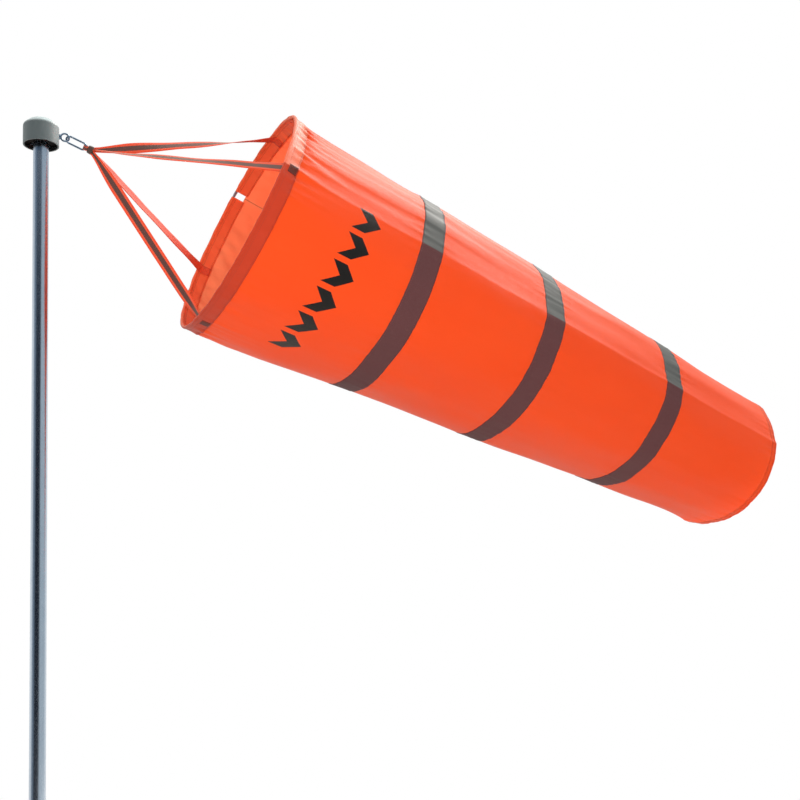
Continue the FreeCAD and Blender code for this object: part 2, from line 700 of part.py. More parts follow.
def cloth_body(name, frame, start, end, proud):
    """Conical length of cloth from start to end, in the frame at its start."""
    inner = "-Sizes.cloth_thick"
    span = "(%s) - (%s)" % (end, start)
    corners = (
        (cloth_radius(start, inner), "0"),
        (cloth_radius(start, proud), "0"),
        (cloth_radius(end, proud), span),
        (cloth_radius(end, inner), span),
    )
    return lathed(name, corners, frame)


def rim_of(frame, start, extra):
    ring = doc.addObject("Part::Circle", "Rim")
    ring.setExpression("Radius", cloth_radius(start, extra))
    ring.Placement = frame
    return ring


def lofted(name, extra):
    """Solid length between the leaning mouth and the first band."""
    made = doc.addObject("Part::Loft", name)
    made.Sections = [
        rim_of(at_mouth(size("hem_length")), "Sizes.hem_length", extra),
        rim_of(along_sock(size("first_tape")), tape_start("first"), extra),
    ]
    made.Solid = True
    made.Ruled = True
    doc.recompute()
    return made


def tape_start(which):
    return "Sizes.%s_tape" % which


def tape_end(which):
    return "Sizes.%s_tape + Sizes.tape_width" % which


skirt_start = HOOP_SET + size("hem_tube_dia") / 2 - size("cloth_thick")
skirt = cloth_body("HemSkirt", at_mouth(skirt_start), str(skirt_start), "Sizes.hem_length",
                   "Sizes.hem_proud")
hem_tube = torus("HemTube", CIRCLE, "Sizes.hem_tube_dia", hoop_frame(size("notch_sweep") / 2),
                 "360 - Sizes.notch_sweep")
pocket = torus("HemPocket", CIRCLE, "Sizes.hem_pocket_dia", hoop_frame(0))
notch = torus("HemNotch", CIRCLE, "Sizes.hem_tube_dia + 0.8", hoop_frame(-size("notch_sweep") / 2),
              "Sizes.notch_sweep")
GAP_DEEP = 20
GAP_WIDE = HOOP_RAD * math.radians(size("notch_sweep"))
gap_corner = moved(spoke(size("hoop_gap_turn"), HOOP_SET), HOOP_RAD - GAP_DEEP / 2, -GAP_WIDE / 2)
gap = block("HemGap", str(GAP_DEEP), str(GAP_WIDE), "Sizes.hem_length", gap_corner)
keep("mouth_hem", cut_by("mouth_hem", joined("HemSolid", [skirt, hem_tube]),
                         joined("HemCut", [pocket, notch, gap])))

# ---------------------------------------------------------------- cloth and bands

TAPE = size("tape_width")
LENGTHS = (
    ("front_band", size("first_tape"), tape_start("first"), tape_end("first"), "Sizes.tape_proud"),
    ("second_panel", size("first_tape") + TAPE, tape_end("first"),
     tape_start("second") + " - Sizes.fold_gap", "0"),
    ("middle_band", size("second_tape"), tape_start("second"), tape_end("second"),
     "Sizes.tape_proud"),
    ("third_panel", size("second_tape") + TAPE, tape_end("second"),
     tape_start("third") + " - Sizes.fold_gap", "0"),
    ("rear_band", size("third_tape"), tape_start("third"), tape_end("third"), "Sizes.tape_proud"),
    ("tail_panel", size("third_tape") + TAPE, tape_end("third"),
     "Sizes.sock_length - Sizes.tail_hem", "0"),
    ("tail_edge", size("sock_length") - size("tail_hem"), "Sizes.sock_length - Sizes.tail_hem",
     "Sizes.sock_length", "Sizes.tape_proud"),
)
outside_front = lofted("FrontOutside", "0")
inside_front = lofted("FrontInside", "-Sizes.cloth_thick")
keep("front_panel", cut_by("front_panel", outside_front, inside_front))
for name, place, start, end, proud in LENGTHS:
    keep(name, cloth_body(name, along_sock(place), start, end, proud))

# ---------------------------------------------------------------- check and export

doc.recompute()
for thing in doc.Objects:
    if "Invalid" in thing.State or "Error" in thing.State:
        raise RuntimeError("%s is %s" % (thing.Label, thing.State))
os.makedirs("parts", exist_ok=True)
for node in NODES:
    shape = node.Shape
    if shape.isNull() or not shape.isValid():
        raise RuntimeError(node.Label + " has no valid shape")
    shape.exportStep("parts/%s.step" % node.Label)
    bounds = shape.BoundBox
    print("%-18s %2d solids %10.1f mm3  x %.1f %.1f  y %.1f %.1f  z %.1f %.1f" % (
        node.Label, len(shape.Solids), shape.Volume, bounds.XMin, bounds.XMax,
        bounds.YMin, bounds.YMax, bounds.ZMin, bounds.ZMax))
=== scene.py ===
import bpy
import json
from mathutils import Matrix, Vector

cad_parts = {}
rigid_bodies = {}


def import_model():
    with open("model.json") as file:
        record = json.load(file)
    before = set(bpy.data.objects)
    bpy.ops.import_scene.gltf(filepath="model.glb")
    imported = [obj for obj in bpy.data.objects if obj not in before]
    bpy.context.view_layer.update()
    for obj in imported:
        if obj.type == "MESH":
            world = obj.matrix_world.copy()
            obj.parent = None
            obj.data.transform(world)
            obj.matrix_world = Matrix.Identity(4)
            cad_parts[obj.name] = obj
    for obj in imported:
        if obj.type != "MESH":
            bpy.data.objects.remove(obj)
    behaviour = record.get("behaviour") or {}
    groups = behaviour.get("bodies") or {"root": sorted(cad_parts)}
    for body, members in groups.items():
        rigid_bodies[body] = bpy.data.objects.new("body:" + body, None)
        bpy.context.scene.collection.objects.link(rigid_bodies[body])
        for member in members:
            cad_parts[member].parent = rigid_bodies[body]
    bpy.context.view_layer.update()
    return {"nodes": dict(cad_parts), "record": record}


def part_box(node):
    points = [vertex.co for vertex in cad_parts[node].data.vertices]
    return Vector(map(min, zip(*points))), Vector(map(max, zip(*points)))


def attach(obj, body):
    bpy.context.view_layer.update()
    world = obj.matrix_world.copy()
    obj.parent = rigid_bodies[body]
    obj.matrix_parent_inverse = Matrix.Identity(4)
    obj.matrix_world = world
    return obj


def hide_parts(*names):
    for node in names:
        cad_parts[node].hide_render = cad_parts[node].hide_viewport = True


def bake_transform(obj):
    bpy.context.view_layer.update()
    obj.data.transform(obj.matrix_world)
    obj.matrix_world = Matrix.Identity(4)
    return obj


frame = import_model()

import json
import math

import bmesh
import bpy
from mathutils import Matrix, Vector, noise

TAU = 2 * math.pi

# ------------ places

JOINT = {joint["name"]: joint for joint in frame["record"]["behaviour"]["joints"]}
EYE = Vector(JOINT["snap_droop"]["pos_m"])
STRAP_PIVOT = Vector(JOINT["strap_pivot"]["pos_m"])
FRONT_FOLD = Vector(JOINT["middle_fold"]["pos_m"])
REAR_FOLD = Vector(JOINT["tail_fold"]["pos_m"])
DOWNWIND = (REAR_FOLD - FRONT_FOLD).normalized()
LEFT = Vector((0, 1, 0))
UP = LEFT.cross(DOWNWIND) * -1
if UP.z < 0:
    UP = -UP
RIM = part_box("head_cap")[0].z

# Distances are in metres. s runs along the sock from the mouth, and a turn runs round it from
# the top, over the near side.
MOUTH = EYE + DOWNWIND * 0.3836
KNOT = EYE + DOWNWIND * 0.056
LENGTH = 1.5094
MOUTH_RADIUS = 0.263
TAIL_RADIUS = 0.189
HOOP_RADIUS = 0.2607
HOOP_SET = 0.0043
HEM_ROUND = 0.0043
HEM_LENGTH = 0.035
HEM_PROUD = 0.0006
HEM_DEVELOPED = 0.075
TAPE_WIDTH = 0.056
TAPES = tuple((start, start + TAPE_WIDTH) for start in (0.3474, 0.6994, 1.0944))
TAIL_HEM = 0.020
STRAP_TURNS = {"near_top": 80, "near_bottom": 170, "far_bottom": 260, "far_top": 350}
SEAM_TURN = math.radians(307)
GAP_HALF = math.radians(1.75)
CREASE_TURN = math.radians(79)
SKY_LIT_TURN = math.radians(325)
UV_RADIUS = 0.25

# The mouth leans back at the top and is turned a little to the left of the sock's axis.
MOUTH_TILT = math.radians(2.5)
MOUTH_YAW = math.radians(1.15)
MOUTH_DROOP = math.asin(-DOWNWIND.z) + MOUTH_TILT
AHEAD = Vector((math.cos(MOUTH_DROOP) * math.cos(MOUTH_YAW), math.sin(MOUTH_YAW),
                -math.sin(MOUTH_DROOP) * math.cos(MOUTH_YAW)))
MOUTH_TOP = (UP - AHEAD * UP.dot(AHEAD)).normalized()
MOUTH_LEFT = MOUTH_TOP.cross(AHEAD)


def cloth_radius(s):
    """Radius of the plain cone that the sock is cut to."""
    return MOUTH_RADIUS - (MOUTH_RADIUS - TAIL_RADIUS) * s / LENGTH


def radial(turn):
    """Unit vector square to the sock's axis, turned from the top to the near side."""
    return UP * math.cos(turn) - LEFT * math.sin(turn)


def mouth_radial(turn):
    """The same, square to the mouth's own axis."""
    return MOUTH_TOP * math.cos(turn) - MOUTH_LEFT * math.sin(turn)


def around(turn):
    """Unit vector along the rim at a turn."""
    return -UP * math.sin(turn) - LEFT * math.cos(turn)


def at_mouth(s, turn, radius):
    """Place on the mouth's own axis, which leans a little from the sock's axis."""
    return MOUTH + AHEAD * s + mouth_radial(turn) * radius


def on_sock(s, turn, radius):
    """Place on the sock: on the mouth's axis at the hem, eased to the sock's axis at the first band."""
    straight = MOUTH + DOWNWIND * s + radial(turn) * radius
    share = (s - HEM_LENGTH) / (TAPES[0][0] - HEM_LENGTH)
    if share >= 1:
        return straight
    return at_mouth(s, turn, radius).lerp(straight, max(0.0, share))


# ------------ shader maths


class Sum:
    """A value in a material; arithmetic on it adds Math nodes."""

    def __init__(self, tree, socket):
        self.tree = tree
        self.socket = socket

    def math(self, operation, *values, clamp=False):
        node = self.tree.nodes.new("ShaderNodeMath")
        node.operation = operation
        node.use_clamp = clamp
        for slot, value in zip(node.inputs, (self,) + values):
            if isinstance(value, Sum):
                self.tree.links.new(value.socket, slot)
            else:
                slot.default_value = value
        return Sum(self.tree, node.outputs[0])

    def __add__(self, other):
        return self.math("ADD", other)

    __radd__ = __add__

    def __mul__(self, other):
        return self.math("MULTIPLY", other)

    __rmul__ = __mul__

    def __sub__(self, other):
        return self.math("SUBTRACT", other)

    def __rsub__(self, other):
        return (self * -1) + other

    def __truediv__(self, other):
        return self.math("DIVIDE", other)

    def __abs__(self):
        return self.math("ABSOLUTE")

    def wave(self):
        return self.math("SINE")

    def fraction(self):
        return self.math("FRACT")

    def power(self, other):
        return self.math("POWER", other)

    def above(self, other):
        return self.math("GREATER_THAN", other)

    def below(self, other):
        return self.math("LESS_THAN", other)

    def held(self):
        """The value, kept between 0 and 1."""
        return self.math("ADD", 0.0, clamp=True)


class Finish:
    """A material or a world under construction."""

    def __init__(self, owner):
        self.owner = owner
        owner.use_nodes = True
        self.tree = owner.node_tree
        self.tree.nodes.clear()

    def node(self, kind, settings=None, **inputs):
        made = self.tree.nodes.new(kind)
        for name, value in (settings or {}).items():
            if name == "stops":
                self.set_stops(made, value)
            else:
                setattr(made, name, value)
        for name, value in inputs.items():
            key = name.replace("_", " ")
            slot = next((i for i in made.inputs if i.name == key and i.enabled), None)
            if slot is None:
                raise KeyError("%s has no input %s" % (kind, key))
            self.feed(slot, value)
        return made

    def set_stops(self, ramp, stops):
        elements = ramp.color_ramp.elements
        while len(elements) < len(stops):
            elements.new(0.5)
        for element, (place, colour) in zip(elements, stops):
            element.position = place
            element.color = (*colour, 1.0)

    def feed(self, slot, value):
        if isinstance(value, Sum):
            self.tree.links.new(value.socket, slot)
        elif isinstance(value, bpy.types.NodeSocket):
            self.tree.links.new(value, slot)
        elif slot.type == "RGBA":
            slot.default_value = (*value, 1.0) if len(value) == 3 else value
        else:
            slot.default_value = value

    def value(self, socket):
        return Sum(self.tree, socket)

    def object_place(self):
        return self.node("ShaderNodeTexCoord").outputs["Object"]

    def cloth_place(self):
        """The piece's own UV map, in metres round and along the sock."""
        return self.node("ShaderNodeUVMap", {"uv_map": "metres"}).outputs["UV"]

    def parts(self, vector):
        split = self.node("ShaderNodeSeparateXYZ", Vector=vector)
        return [self.value(split.outputs[axis]) for axis in "XYZ"]

    def scaled(self, vector, scale):
        return self.node("ShaderNodeMapping", Vector=vector, Scale=scale).outputs["Vector"]

    def grain(self, vector, scale, detail=3.0, rough=0.5):
        made = self.node("ShaderNodeTexNoise", Vector=vector, Scale=scale, Detail=detail,
                         Roughness=rough)
        return self.value(made.outputs[0])

    def cells(self, vector, scale, output):
        made = self.node("ShaderNodeTexVoronoi", {"feature": "F1"}, Vector=vector, Scale=scale)
        return self.value(made.outputs[output])

    def ramp(self, value, stops):
        return self.node("ShaderNodeValToRGB", {"stops": stops}, Fac=value).outputs["Color"]

    def patches(self, value, low, high):
        """Grey 0 below low and 1 above high."""
        stops = ((0.0, (0, 0, 0)), (low, (0, 0, 0)), (high, (1, 1, 1)))
        return self.value(self.ramp(value, stops))

    def blend(self, factor, first, second):
        made = self.tree.nodes.new("ShaderNodeMix")
        made.data_type = "RGBA"
        made.clamp_factor = True
        self.feed(made.inputs[0], factor)
        self.feed(made.inputs[6], first)
        self.feed(made.inputs[7], second)
        return made.outputs[2]

    def bump(self, height, strength, depth):
        made = self.node("ShaderNodeBump", Height=height, Strength=strength, Distance=depth)
        return made.outputs["Normal"]

    def surface(self, **sockets):
        made = self.tree.nodes.new("ShaderNodeBsdfPrincipled")
        for name, value in sockets.items():
            self.feed(made.inputs[name.replace("_", " ")], value)
        return made.outputs["BSDF"]

    def mixed(self, share, first, second):
        made = self.node("ShaderNodeMixShader", Fac=share)
        self.tree.links.new(first, made.inputs[1])
        self.tree.links.new(second, made.inputs[2])
        return made.outputs[0]

    def finish(self, shader):
        is_world = isinstance(self.owner, bpy.types.World)
        out = self.tree.nodes.new("ShaderNodeOutputWorld" if is_world else "ShaderNodeOutputMaterial")
        self.tree.links.new(shader, out.inputs["Surface"])
        return self.owner


def new_finish(name):
    return Finish(bpy.data.materials.new(name))


def darker(colour, share):
    return tuple(part * share for part in colour)


def lighter(colour, share, lift=0.0):
    return tuple(min(1.0, part * share + lift) for part in colour)


# ------------ cloth finishes

CLOTH_WEAVE = 0.0011
RIBBON_WEAVE = 0.0012
RIBBON_RIB = 0.0019
RIBBON_STITCH = 0.0036
SKY_LIT_EDGE = 0.0025
SEAM_HALF = 0.0010
LAP_HALF = 0.0045


def weave_height(finish, uv, pitch):
    """Plain weave: threads that pass over and under each other."""
    across, along, _ = finish.parts(uv)
    warp = (across * (TAU / pitch)).wave()
    weft = (along * (TAU / pitch)).wave()
    return warp * weft * 0.5 + 0.5


def sky_lit_side(across):
    """The upper side of the sock, where the light from above falls, for painting light on: 1 there, 0
    elsewhere.
    """
    past_crease = (across / SKY_LIT_EDGE - (CREASE_TURN * UV_RADIUS / SKY_LIT_EDGE - 0.5)).held()
    return ((1 - past_crease) + across.above(SKY_LIT_TURN * UV_RADIUS)).held()


def cloth_finish(name, colour, shade, glow, share, marks=False, sheen=0.22, top_light_colour=None):
    """Woven cloth that lets light through; share is how much of it passes. The last colour, if given, is
    painted light on the upper side.
    """
    f = new_finish(name)
    uv = f.cloth_place()
    across, along, _ = f.parts(uv)
    cloudy = f.grain(f.scaled(uv, (9, 4, 1)), 1.0, 4.0)
    slub = f.grain(f.scaled(uv, (40, 900, 1)), 1.0, 2.0)
    crease = f.grain(f.scaled(uv, (30, 9, 1)), 1.0, 5.0, 0.55)
    fine = f.grain(f.scaled(uv, (110, 45, 1)), 1.0, 4.0, 0.6)
    tone = f.blend(cloudy * 0.8, colour, shade)
    # Painted light: a paler colour on the upper side, where the light from above falls.
    if top_light_colour:
        tone = f.blend(sky_lit_side(across), tone, top_light_colour)
    tone = f.blend(slub * 0.10, tone, lighter(colour, 1.25, 0.01))
    weave = weave_height(f, uv, CLOTH_WEAVE)
    tone = f.blend((1 - weave) * 0.12, tone, darker(shade, 0.55))
    off_seam = abs(across - SEAM_TURN * UV_RADIUS)
    seam = off_seam.below(SEAM_HALF)
    lap = off_seam.below(LAP_HALF)
    tone = f.blend(seam * 0.75, tone, darker(shade, 0.30))
    rough = cloudy * 0.10 + 0.42
    passing = (cloudy * 0.06 + share) * (1 - lap * 0.35)
    if marks:
        mask = chevrons(f, across, along)
        worn = f.grain(f.scaled(uv, (300, 300, 1)), 1.0, 3.0)
        ink = f.blend(worn, (0.002, 0.002, 0.002), (0.006, 0.005, 0.005))
        tone = f.blend(mask, tone, ink)
        passing = passing * (1 - mask)
    height = weave * 0.25 + crease * 1.8 + fine * 0.5 + slub * 0.15 - seam * 0.4
    normal = f.bump(height, 0.35, 0.0020)
    body = f.surface(Base_Color=tone, Roughness=rough, Normal=normal, Specular_IOR_Level=0.28,
                     Sheen_Weight=sheen, Sheen_Roughness=0.45, Sheen_Tint=(1.0, 0.80, 0.66))
    through = f.node("ShaderNodeBsdfTranslucent", Color=glow, Normal=normal).outputs[0]
    return f.finish(f.mixed(passing, body, through))


MARK_FIRST = math.radians(84)
MARK_PITCH = math.radians(14.6)
MARK_COUNT = 6
MARK_HALF_WIDE = 0.0255
MARK_HALF_STROKE = 0.0165
MARK_SLOPE = 1.15
ROW_TURN = math.radians(77)
ROW_START = 0.233
ROW_SLANT = 0.098


def chevrons(f, across, along):
    """Row of plain chevrons printed round the near side, pointing to the tail."""
    first = (MARK_FIRST - MARK_PITCH / 2) * UV_RADIUS
    pitch = MARK_PITCH * UV_RADIUS
    run = (across - first) / pitch
    inside = run.above(0.0) * run.below(float(MARK_COUNT))
    from_tip = abs(run.fraction() - 0.5) * pitch
    tip = (across - ROW_TURN * UV_RADIUS) * -ROW_SLANT + ROW_START
    stroke = abs(along - tip + from_tip * MARK_SLOPE).below(MARK_HALF_STROKE)
    return inside * stroke * from_tip.below(MARK_HALF_WIDE)


def tape_finish(name):
    """Grey-brown tape with fine glass beads, with painted light: lighter grey-green on the sock's upper
    side, standing in for the sky light and its reflection there.
    """
    f = new_finish(name)
    uv = f.cloth_place()
    across, _, _ = f.parts(uv)
    beads = f.cells(f.scaled(uv, (700, 700, 1)), 1.0, "Distance")
    cloudy = f.grain(f.scaled(uv, (14, 14, 1)), 1.0, 3.0)
    scuff = f.grain(f.scaled(uv, (160, 60, 1)), 1.0, 4.0)
    tone = f.blend(cloudy * 0.6, (0.088, 0.029, 0.030), (0.062, 0.021, 0.022))
    # Painted light: lighter grey-green on the upper side, standing in for the sky light and its
    # reflection.
    top_light_tone = f.blend(cloudy, (0.072, 0.092, 0.087), (0.055, 0.074, 0.070))
    tone = f.blend(sky_lit_side(across) * 0.85, tone, top_light_tone)
    tone = f.blend(beads * 0.20, tone, (0.15, 0.10, 0.10))
    tone = f.blend(f.patches(scuff, 0.62, 0.72) * 0.15, tone, (0.16, 0.07, 0.05))
    rough = cloudy * 0.10 + 0.52
    normal = f.bump(beads * 0.7 + scuff * 0.8, 0.18, 0.0006)
    return f.finish(f.surface(Base_Color=tone, Roughness=rough, Normal=normal, Specular_IOR_Level=0.10))


def ribbon_finish(name, striped):
    """Woven orange ribbon; striped, it has a grey reflective middle. U runs across it in metres."""
    f = new_finish(name)
    uv = f.cloth_place()
    across, along, _ = f.parts(uv)
    weave = weave_height(f, uv, RIBBON_WEAVE)
    ribs = (along * (TAU / RIBBON_RIB)).wave() * 0.5 + 0.5
    cloudy = f.grain(f.scaled(uv, (60, 12, 1)), 1.0, 3.0)
    tone = f.blend(cloudy * 0.6, (0.70, 0.062, 0.018), (0.52, 0.040, 0.012))
    edge = abs(across).above(0.0098)
    rough = cloudy * 0.08 + 0.60
    if striped:
        middle = f.blend(cloudy * 0.7, (0.085, 0.038, 0.032), (0.055, 0.026, 0.022))
        edge = abs(across).above(0.0052)
        tone = f.blend(edge, middle, tone)
        rough = edge * 0.24 + 0.38 + cloudy * 0.08
    tone = f.blend((1 - weave) * 0.20, tone, (0.10, 0.03, 0.02))
    stitch = abs(abs(across) - 0.0068).below(0.0004)
    stitch = stitch * (along / RIBBON_STITCH).fraction().below(0.68)
    tone = f.blend(stitch * 0.8, tone, (0.42, 0.13, 0.08))
    normal = f.bump(weave * 0.4 + ribs * edge * 0.5 + stitch * 0.8, 0.35, 0.0007)
    return f.finish(f.surface(Base_Color=tone, Roughness=rough, Normal=normal,
                              Sheen_Weight=0.10, Sheen_Roughness=0.5, Sheen_Tint=(1.0, 0.7, 0.5)))


def thread_finish(name, colour):
    """Twisted thread, or a coarse web of it."""
    f = new_finish(name)
    place = f.object_place()
    twist = f.grain(f.scaled(place, (2600, 2600, 2600)), 1.0, 2.0)
    tone = f.blend(twist * 0.6, colour, darker(colour, 0.45))
    return f.finish(f.surface(Base_Color=tone, Roughness=0.55, Normal=f.bump(twist, 0.4, 0.0002)))


# ------------ metal and plastic finishes

CAP_ROOM = 0.0321
CAP_ROOF = 0.0400
CAP_BASE = RIM - frame["nodes"]["head_cap"].matrix_world.translation.z


def steel_finish(name, light, dark, rough, brush=(900, 900, 6), spangle=0.0):
    """Bare or plated metal; brush is how fine its lines are along X, Y and Z."""
    f = new_finish(name)
    place = f.object_place()
    lines = f.grain(f.scaled(place, brush), 1.0, 4.0)
    cloudy = f.grain(place, 38.0, 4.0)
    tone = f.blend(cloudy * 0.8, light, dark)
    tone = f.blend(lines * 0.20, tone, darker(dark, 0.6))
    if spangle:
        crystals = f.cells(place, 210.0, "Color")
        tone = f.blend(crystals * spangle, tone, lighter(light, 1.3))
    scratch = f.grain(f.scaled(place, (500, 500, 25)), 1.0, 6.0, 0.7)
    marks = f.patches(scratch, 0.60, 0.66)
    roughness = lines * 0.12 + cloudy * 0.08 + rough + marks * 0.10
    normal = f.bump(lines * 0.5 + scratch * 0.5, 0.10, 0.0004)
    return f.finish(f.surface(Base_Color=tone, Roughness=roughness, Normal=normal, Metallic=1.0))


def plastic_finish(name, light, dark, rough, shade_inside=False):
    """Moulded plastic; the flag paints shade, near black, on the room inside the head cap."""
    f = new_finish(name)
    place = f.object_place()
    fine = f.grain(place, 900.0, 4.0)
    cloudy = f.grain(place, 30.0, 5.0)
    dust = f.grain(f.scaled(place, (60, 60, 14)), 1.0, 5.0)
    tone = f.blend(cloudy * 0.7, light, dark)
    tone = f.blend(f.patches(dust, 0.52, 0.78) * 0.28, tone, darker(dark, 0.70))
    roughness = fine * 0.14 + cloudy * 0.08 + rough
    # Painted shade: near black inside the cap, where the light does not reach.
    if shade_inside:
        x, y, z = f.parts(place)
        inside = (x * x + y * y).below(CAP_ROOM ** 2) * (z - CAP_BASE).below(CAP_ROOF)
        tone = f.blend(inside * 0.94, tone, (0.010, 0.006, 0.006))
    normal = f.bump(fine, 0.16, 0.0003)
    return f.finish(f.surface(Base_Color=tone, Roughness=roughness, Normal=normal))


def clear_finish(name):
    """Hazy clear plastic."""
    f = new_finish(name)
    place = f.object_place()
    haze = f.grain(place, 160.0, 3.0)
    tone = f.blend(haze, (0.60, 0.58, 0.63), (0.42, 0.41, 0.46))
    body = f.surface(Base_Color=tone, Roughness=haze * 0.10 + 0.12, Coat_Weight=0.6,
                     Normal=f.bump(haze, 0.08, 0.0004))
    glassy = f.node("ShaderNodeBsdfTransparent", Color=(0.97, 0.98, 0.99)).outputs[0]
    return f.finish(f.mixed(0.35, body, glassy))


SOCK_RED = (0.84, 0.098, 0.013)
SOCK_SHADE = (0.77, 0.082, 0.010)
SOCK_GLOW = (0.98, 0.21, 0.035)
PRINTED_SOCK = cloth_finish("printed_polyester", SOCK_RED, SOCK_SHADE, SOCK_GLOW, 0.42, marks=True)
SOCK = cloth_finish("sock_polyester", SOCK_RED, SOCK_SHADE, SOCK_GLOW, 0.42)
# Painted light: the sock's inner faces take a paler copy of its cloth, standing in for the light that
# comes through the far wall.
SOCK_INSIDE_LIT = cloth_finish("sock_inside", (0.94, 0.38, 0.185), (0.90, 0.30, 0.135), (0.98, 0.30, 0.11), 0.40)
# Painted shade and painted light: the hem is darker than the sock, standing in for the light that the
# doubled cloth holds back, and paler on its upper side, where the light from above falls.
HEM = cloth_finish("hem_polyester", (0.50, 0.044, 0.013), (0.42, 0.034, 0.010), (0.80, 0.07, 0.02), 0.18,
                   sheen=0.08, top_light_colour=(0.84, 0.200, 0.110))
# Painted light: the hem's inner faces take a bright copy of the cloth, standing in for the light that
# comes through the cloth.
HEM_FOLD_INSIDE_LIT = cloth_finish("hem_inside", (0.98, 0.200, 0.075), (0.94, 0.160, 0.055), (0.98, 0.27, 0.08),
                          0.40)
TAPE = tape_finish("reflective_tape")
RIBBON = ribbon_finish("strap_ribbon", True)
RIBBON_BACK = ribbon_finish("strap_ribbon_back", False)
WRAP = thread_finish("taupe_binding", (0.062, 0.037, 0.029))
# Painted shadow: dark red for the sheets over the strap ends, standing in for the straps' shadows
# through the hem.
STRAP_SHADOW_FINISH = thread_finish("painted_strap_shadow", (0.085, 0.018, 0.011))
DARK_THREAD = thread_finish("dark_red_thread", (0.30, 0.024, 0.010))
ORANGE_THREAD = thread_finish("orange_thread", (0.16, 0.045, 0.035))
# Painted reflection: the blue tint of the tube stands in for the blue sky that it reflects.
GALVANISED = steel_finish("galvanised_tube", (0.56, 0.62, 0.70), (0.44, 0.51, 0.60), 0.14, spangle=0.10)
# Painted reflection: the wire is darker and bluer than bright steel, standing in for the sky that it
# reflects.
BRIGHT_WIRE = steel_finish("bright_wire", (0.30, 0.40, 0.52), (0.17, 0.25, 0.35), 0.20, (300, 300, 300))
ZINC = steel_finish("zinc_plate", (0.66, 0.67, 0.68), (0.50, 0.51, 0.53), 0.28, (200, 200, 200))
# Painted shade: the retainer plate is near black, standing in for the shade under the cap.
UNDER_CAP_SHADE = steel_finish("painted_shade_plate", (0.030, 0.024, 0.024), (0.018, 0.015, 0.015), 0.45)
GROUND = steel_finish("ground_steel", (0.74, 0.75, 0.77), (0.60, 0.61, 0.64), 0.12, (60, 60, 900))
TURNED = steel_finish("turned_aluminium", (0.80, 0.81, 0.82), (0.68, 0.69, 0.71), 0.24, (30, 30, 1500))
HOOP_WIRE = steel_finish("spring_wire", (0.46, 0.46, 0.47), (0.32, 0.32, 0.34), 0.26, (250, 250, 250))
CAP_GREY = plastic_finish("cap_moulding", (0.225, 0.265, 0.268), (0.17, 0.21, 0.218), 0.38, shade_inside=True)
NYLON = plastic_finish("cage_nylon", (0.30, 0.24, 0.15), (0.22, 0.17, 0.10), 0.42)
CLEAR = clear_finish("clear_sleeve")

FINISH_OF = {
    "mast_tube": GALVANISED, "mast_plug": TURNED, "spindle": GROUND,
    "lower_inner_race": GROUND, "upper_inner_race": GROUND,
    "lower_outer_race": GROUND, "upper_outer_race": GROUND,
    "lower_balls": GROUND, "upper_balls": GROUND, "lower_cage": NYLON, "upper_cage": NYLON,
    "inner_spacer": GROUND, "outer_spacer": GROUND, "spindle_washer": ZINC, "spindle_nut": ZINC,
    "head_cap": CAP_GREY, "retainer_plate": UNDER_CAP_SHADE, "retainer_screws": BRIGHT_WIRE,
    "eye_bolt": BRIGHT_WIRE, "eye_washer": ZINC, "eye_nut": ZINC,
    "snap_hook": BRIGHT_WIRE, "snap_gate": BRIGHT_WIRE, "gate_pin": GROUND,
    "hoop": HOOP_WIRE, "hoop_connector": CLEAR,
}
for name, material in FINISH_OF.items():
    for slot in frame["nodes"][name].material_slots:
        slot.material = material


# ------------ sheets of cloth


def deselect():
    if bpy.context.object and bpy.context.object.mode != "OBJECT":
        bpy.ops.object.mode_set(mode="OBJECT")
    bpy.ops.object.select_all(action="DESELECT")


def sheet_of(name, columns, rows, place, chart, closed=False, keep=None):
    """A grid moved point by point: place(u, v) gives a point, chart(u, v) its UV in metres.

    closed merges the edges that meet, and keep(u, v) says which faces stay.
    """
    deselect()
    bpy.ops.mesh.primitive_grid_add(x_subdivisions=columns, y_subdivisions=rows, size=2, calc_uvs=False)
    piece = bpy.context.object
    piece.name = name
    mesh = piece.data
    mesh.name = name
    spots = [((v.co.x + 1) / 2, (v.co.y + 1) / 2) for v in mesh.vertices]
    chart_map = mesh.uv_layers.new(name="metres")
    for loop in mesh.loops:
        chart_map.data[loop.index].uv = chart(*spots[loop.vertex_index])
    for vertex, (u, v) in zip(mesh.vertices, spots):
        vertex.co = place(u, v)
    work = bmesh.new()
    work.from_mesh(mesh)
    if keep is not None:
        work.verts.ensure_lookup_table()
        gone = [face for face in work.faces
                if not keep(sum(spots[v.index][0] for v in face.verts) / len(face.verts),
                            sum(spots[v.index][1] for v in face.verts) / len(face.verts))]
        bmesh.ops.delete(work, geom=gone, context="FACES")
    if closed:
        bmesh.ops.remove_doubles(work, verts=work.verts, dist=1e-5)
    work.to_mesh(mesh)
    work.free()
    mesh.update()
    return piece


def apply_modifier(piece, kind, **settings):
    deselect()
    bpy.context.view_layer.objects.active = piece
    piece.select_set(True)
    modifier = piece.modifiers.new(kind.title(), kind)
    for name, value in settings.items():
        setattr(modifier, name, value)
    bpy.ops.object.modifier_apply(modifier=modifier.name)


def thicken(piece, thickness, offset=-1.0):
    """Gives a sheet its thickness; the new skin and the edges take the piece's second material."""
    apply_modifier(piece, "SOLIDIFY", thickness=thickness, offset=offset, use_even_offset=True,
                   material_offset=1, material_offset_rim=1)


def face_outwards(piece, centre_of):
    """Turns the faces so that most look away from the line that centre_of gives."""
    mesh = piece.data
    score = sum((p.center - centre_of(p.center)).dot(p.normal) * p.area for p in mesh.polygons)
    if score < 0:
        mesh.flip_normals()


def axis_point(point):
    """Nearest place on the sock's axis."""
    return MOUTH + DOWNWIND * (point - MOUTH).dot(DOWNWIND)


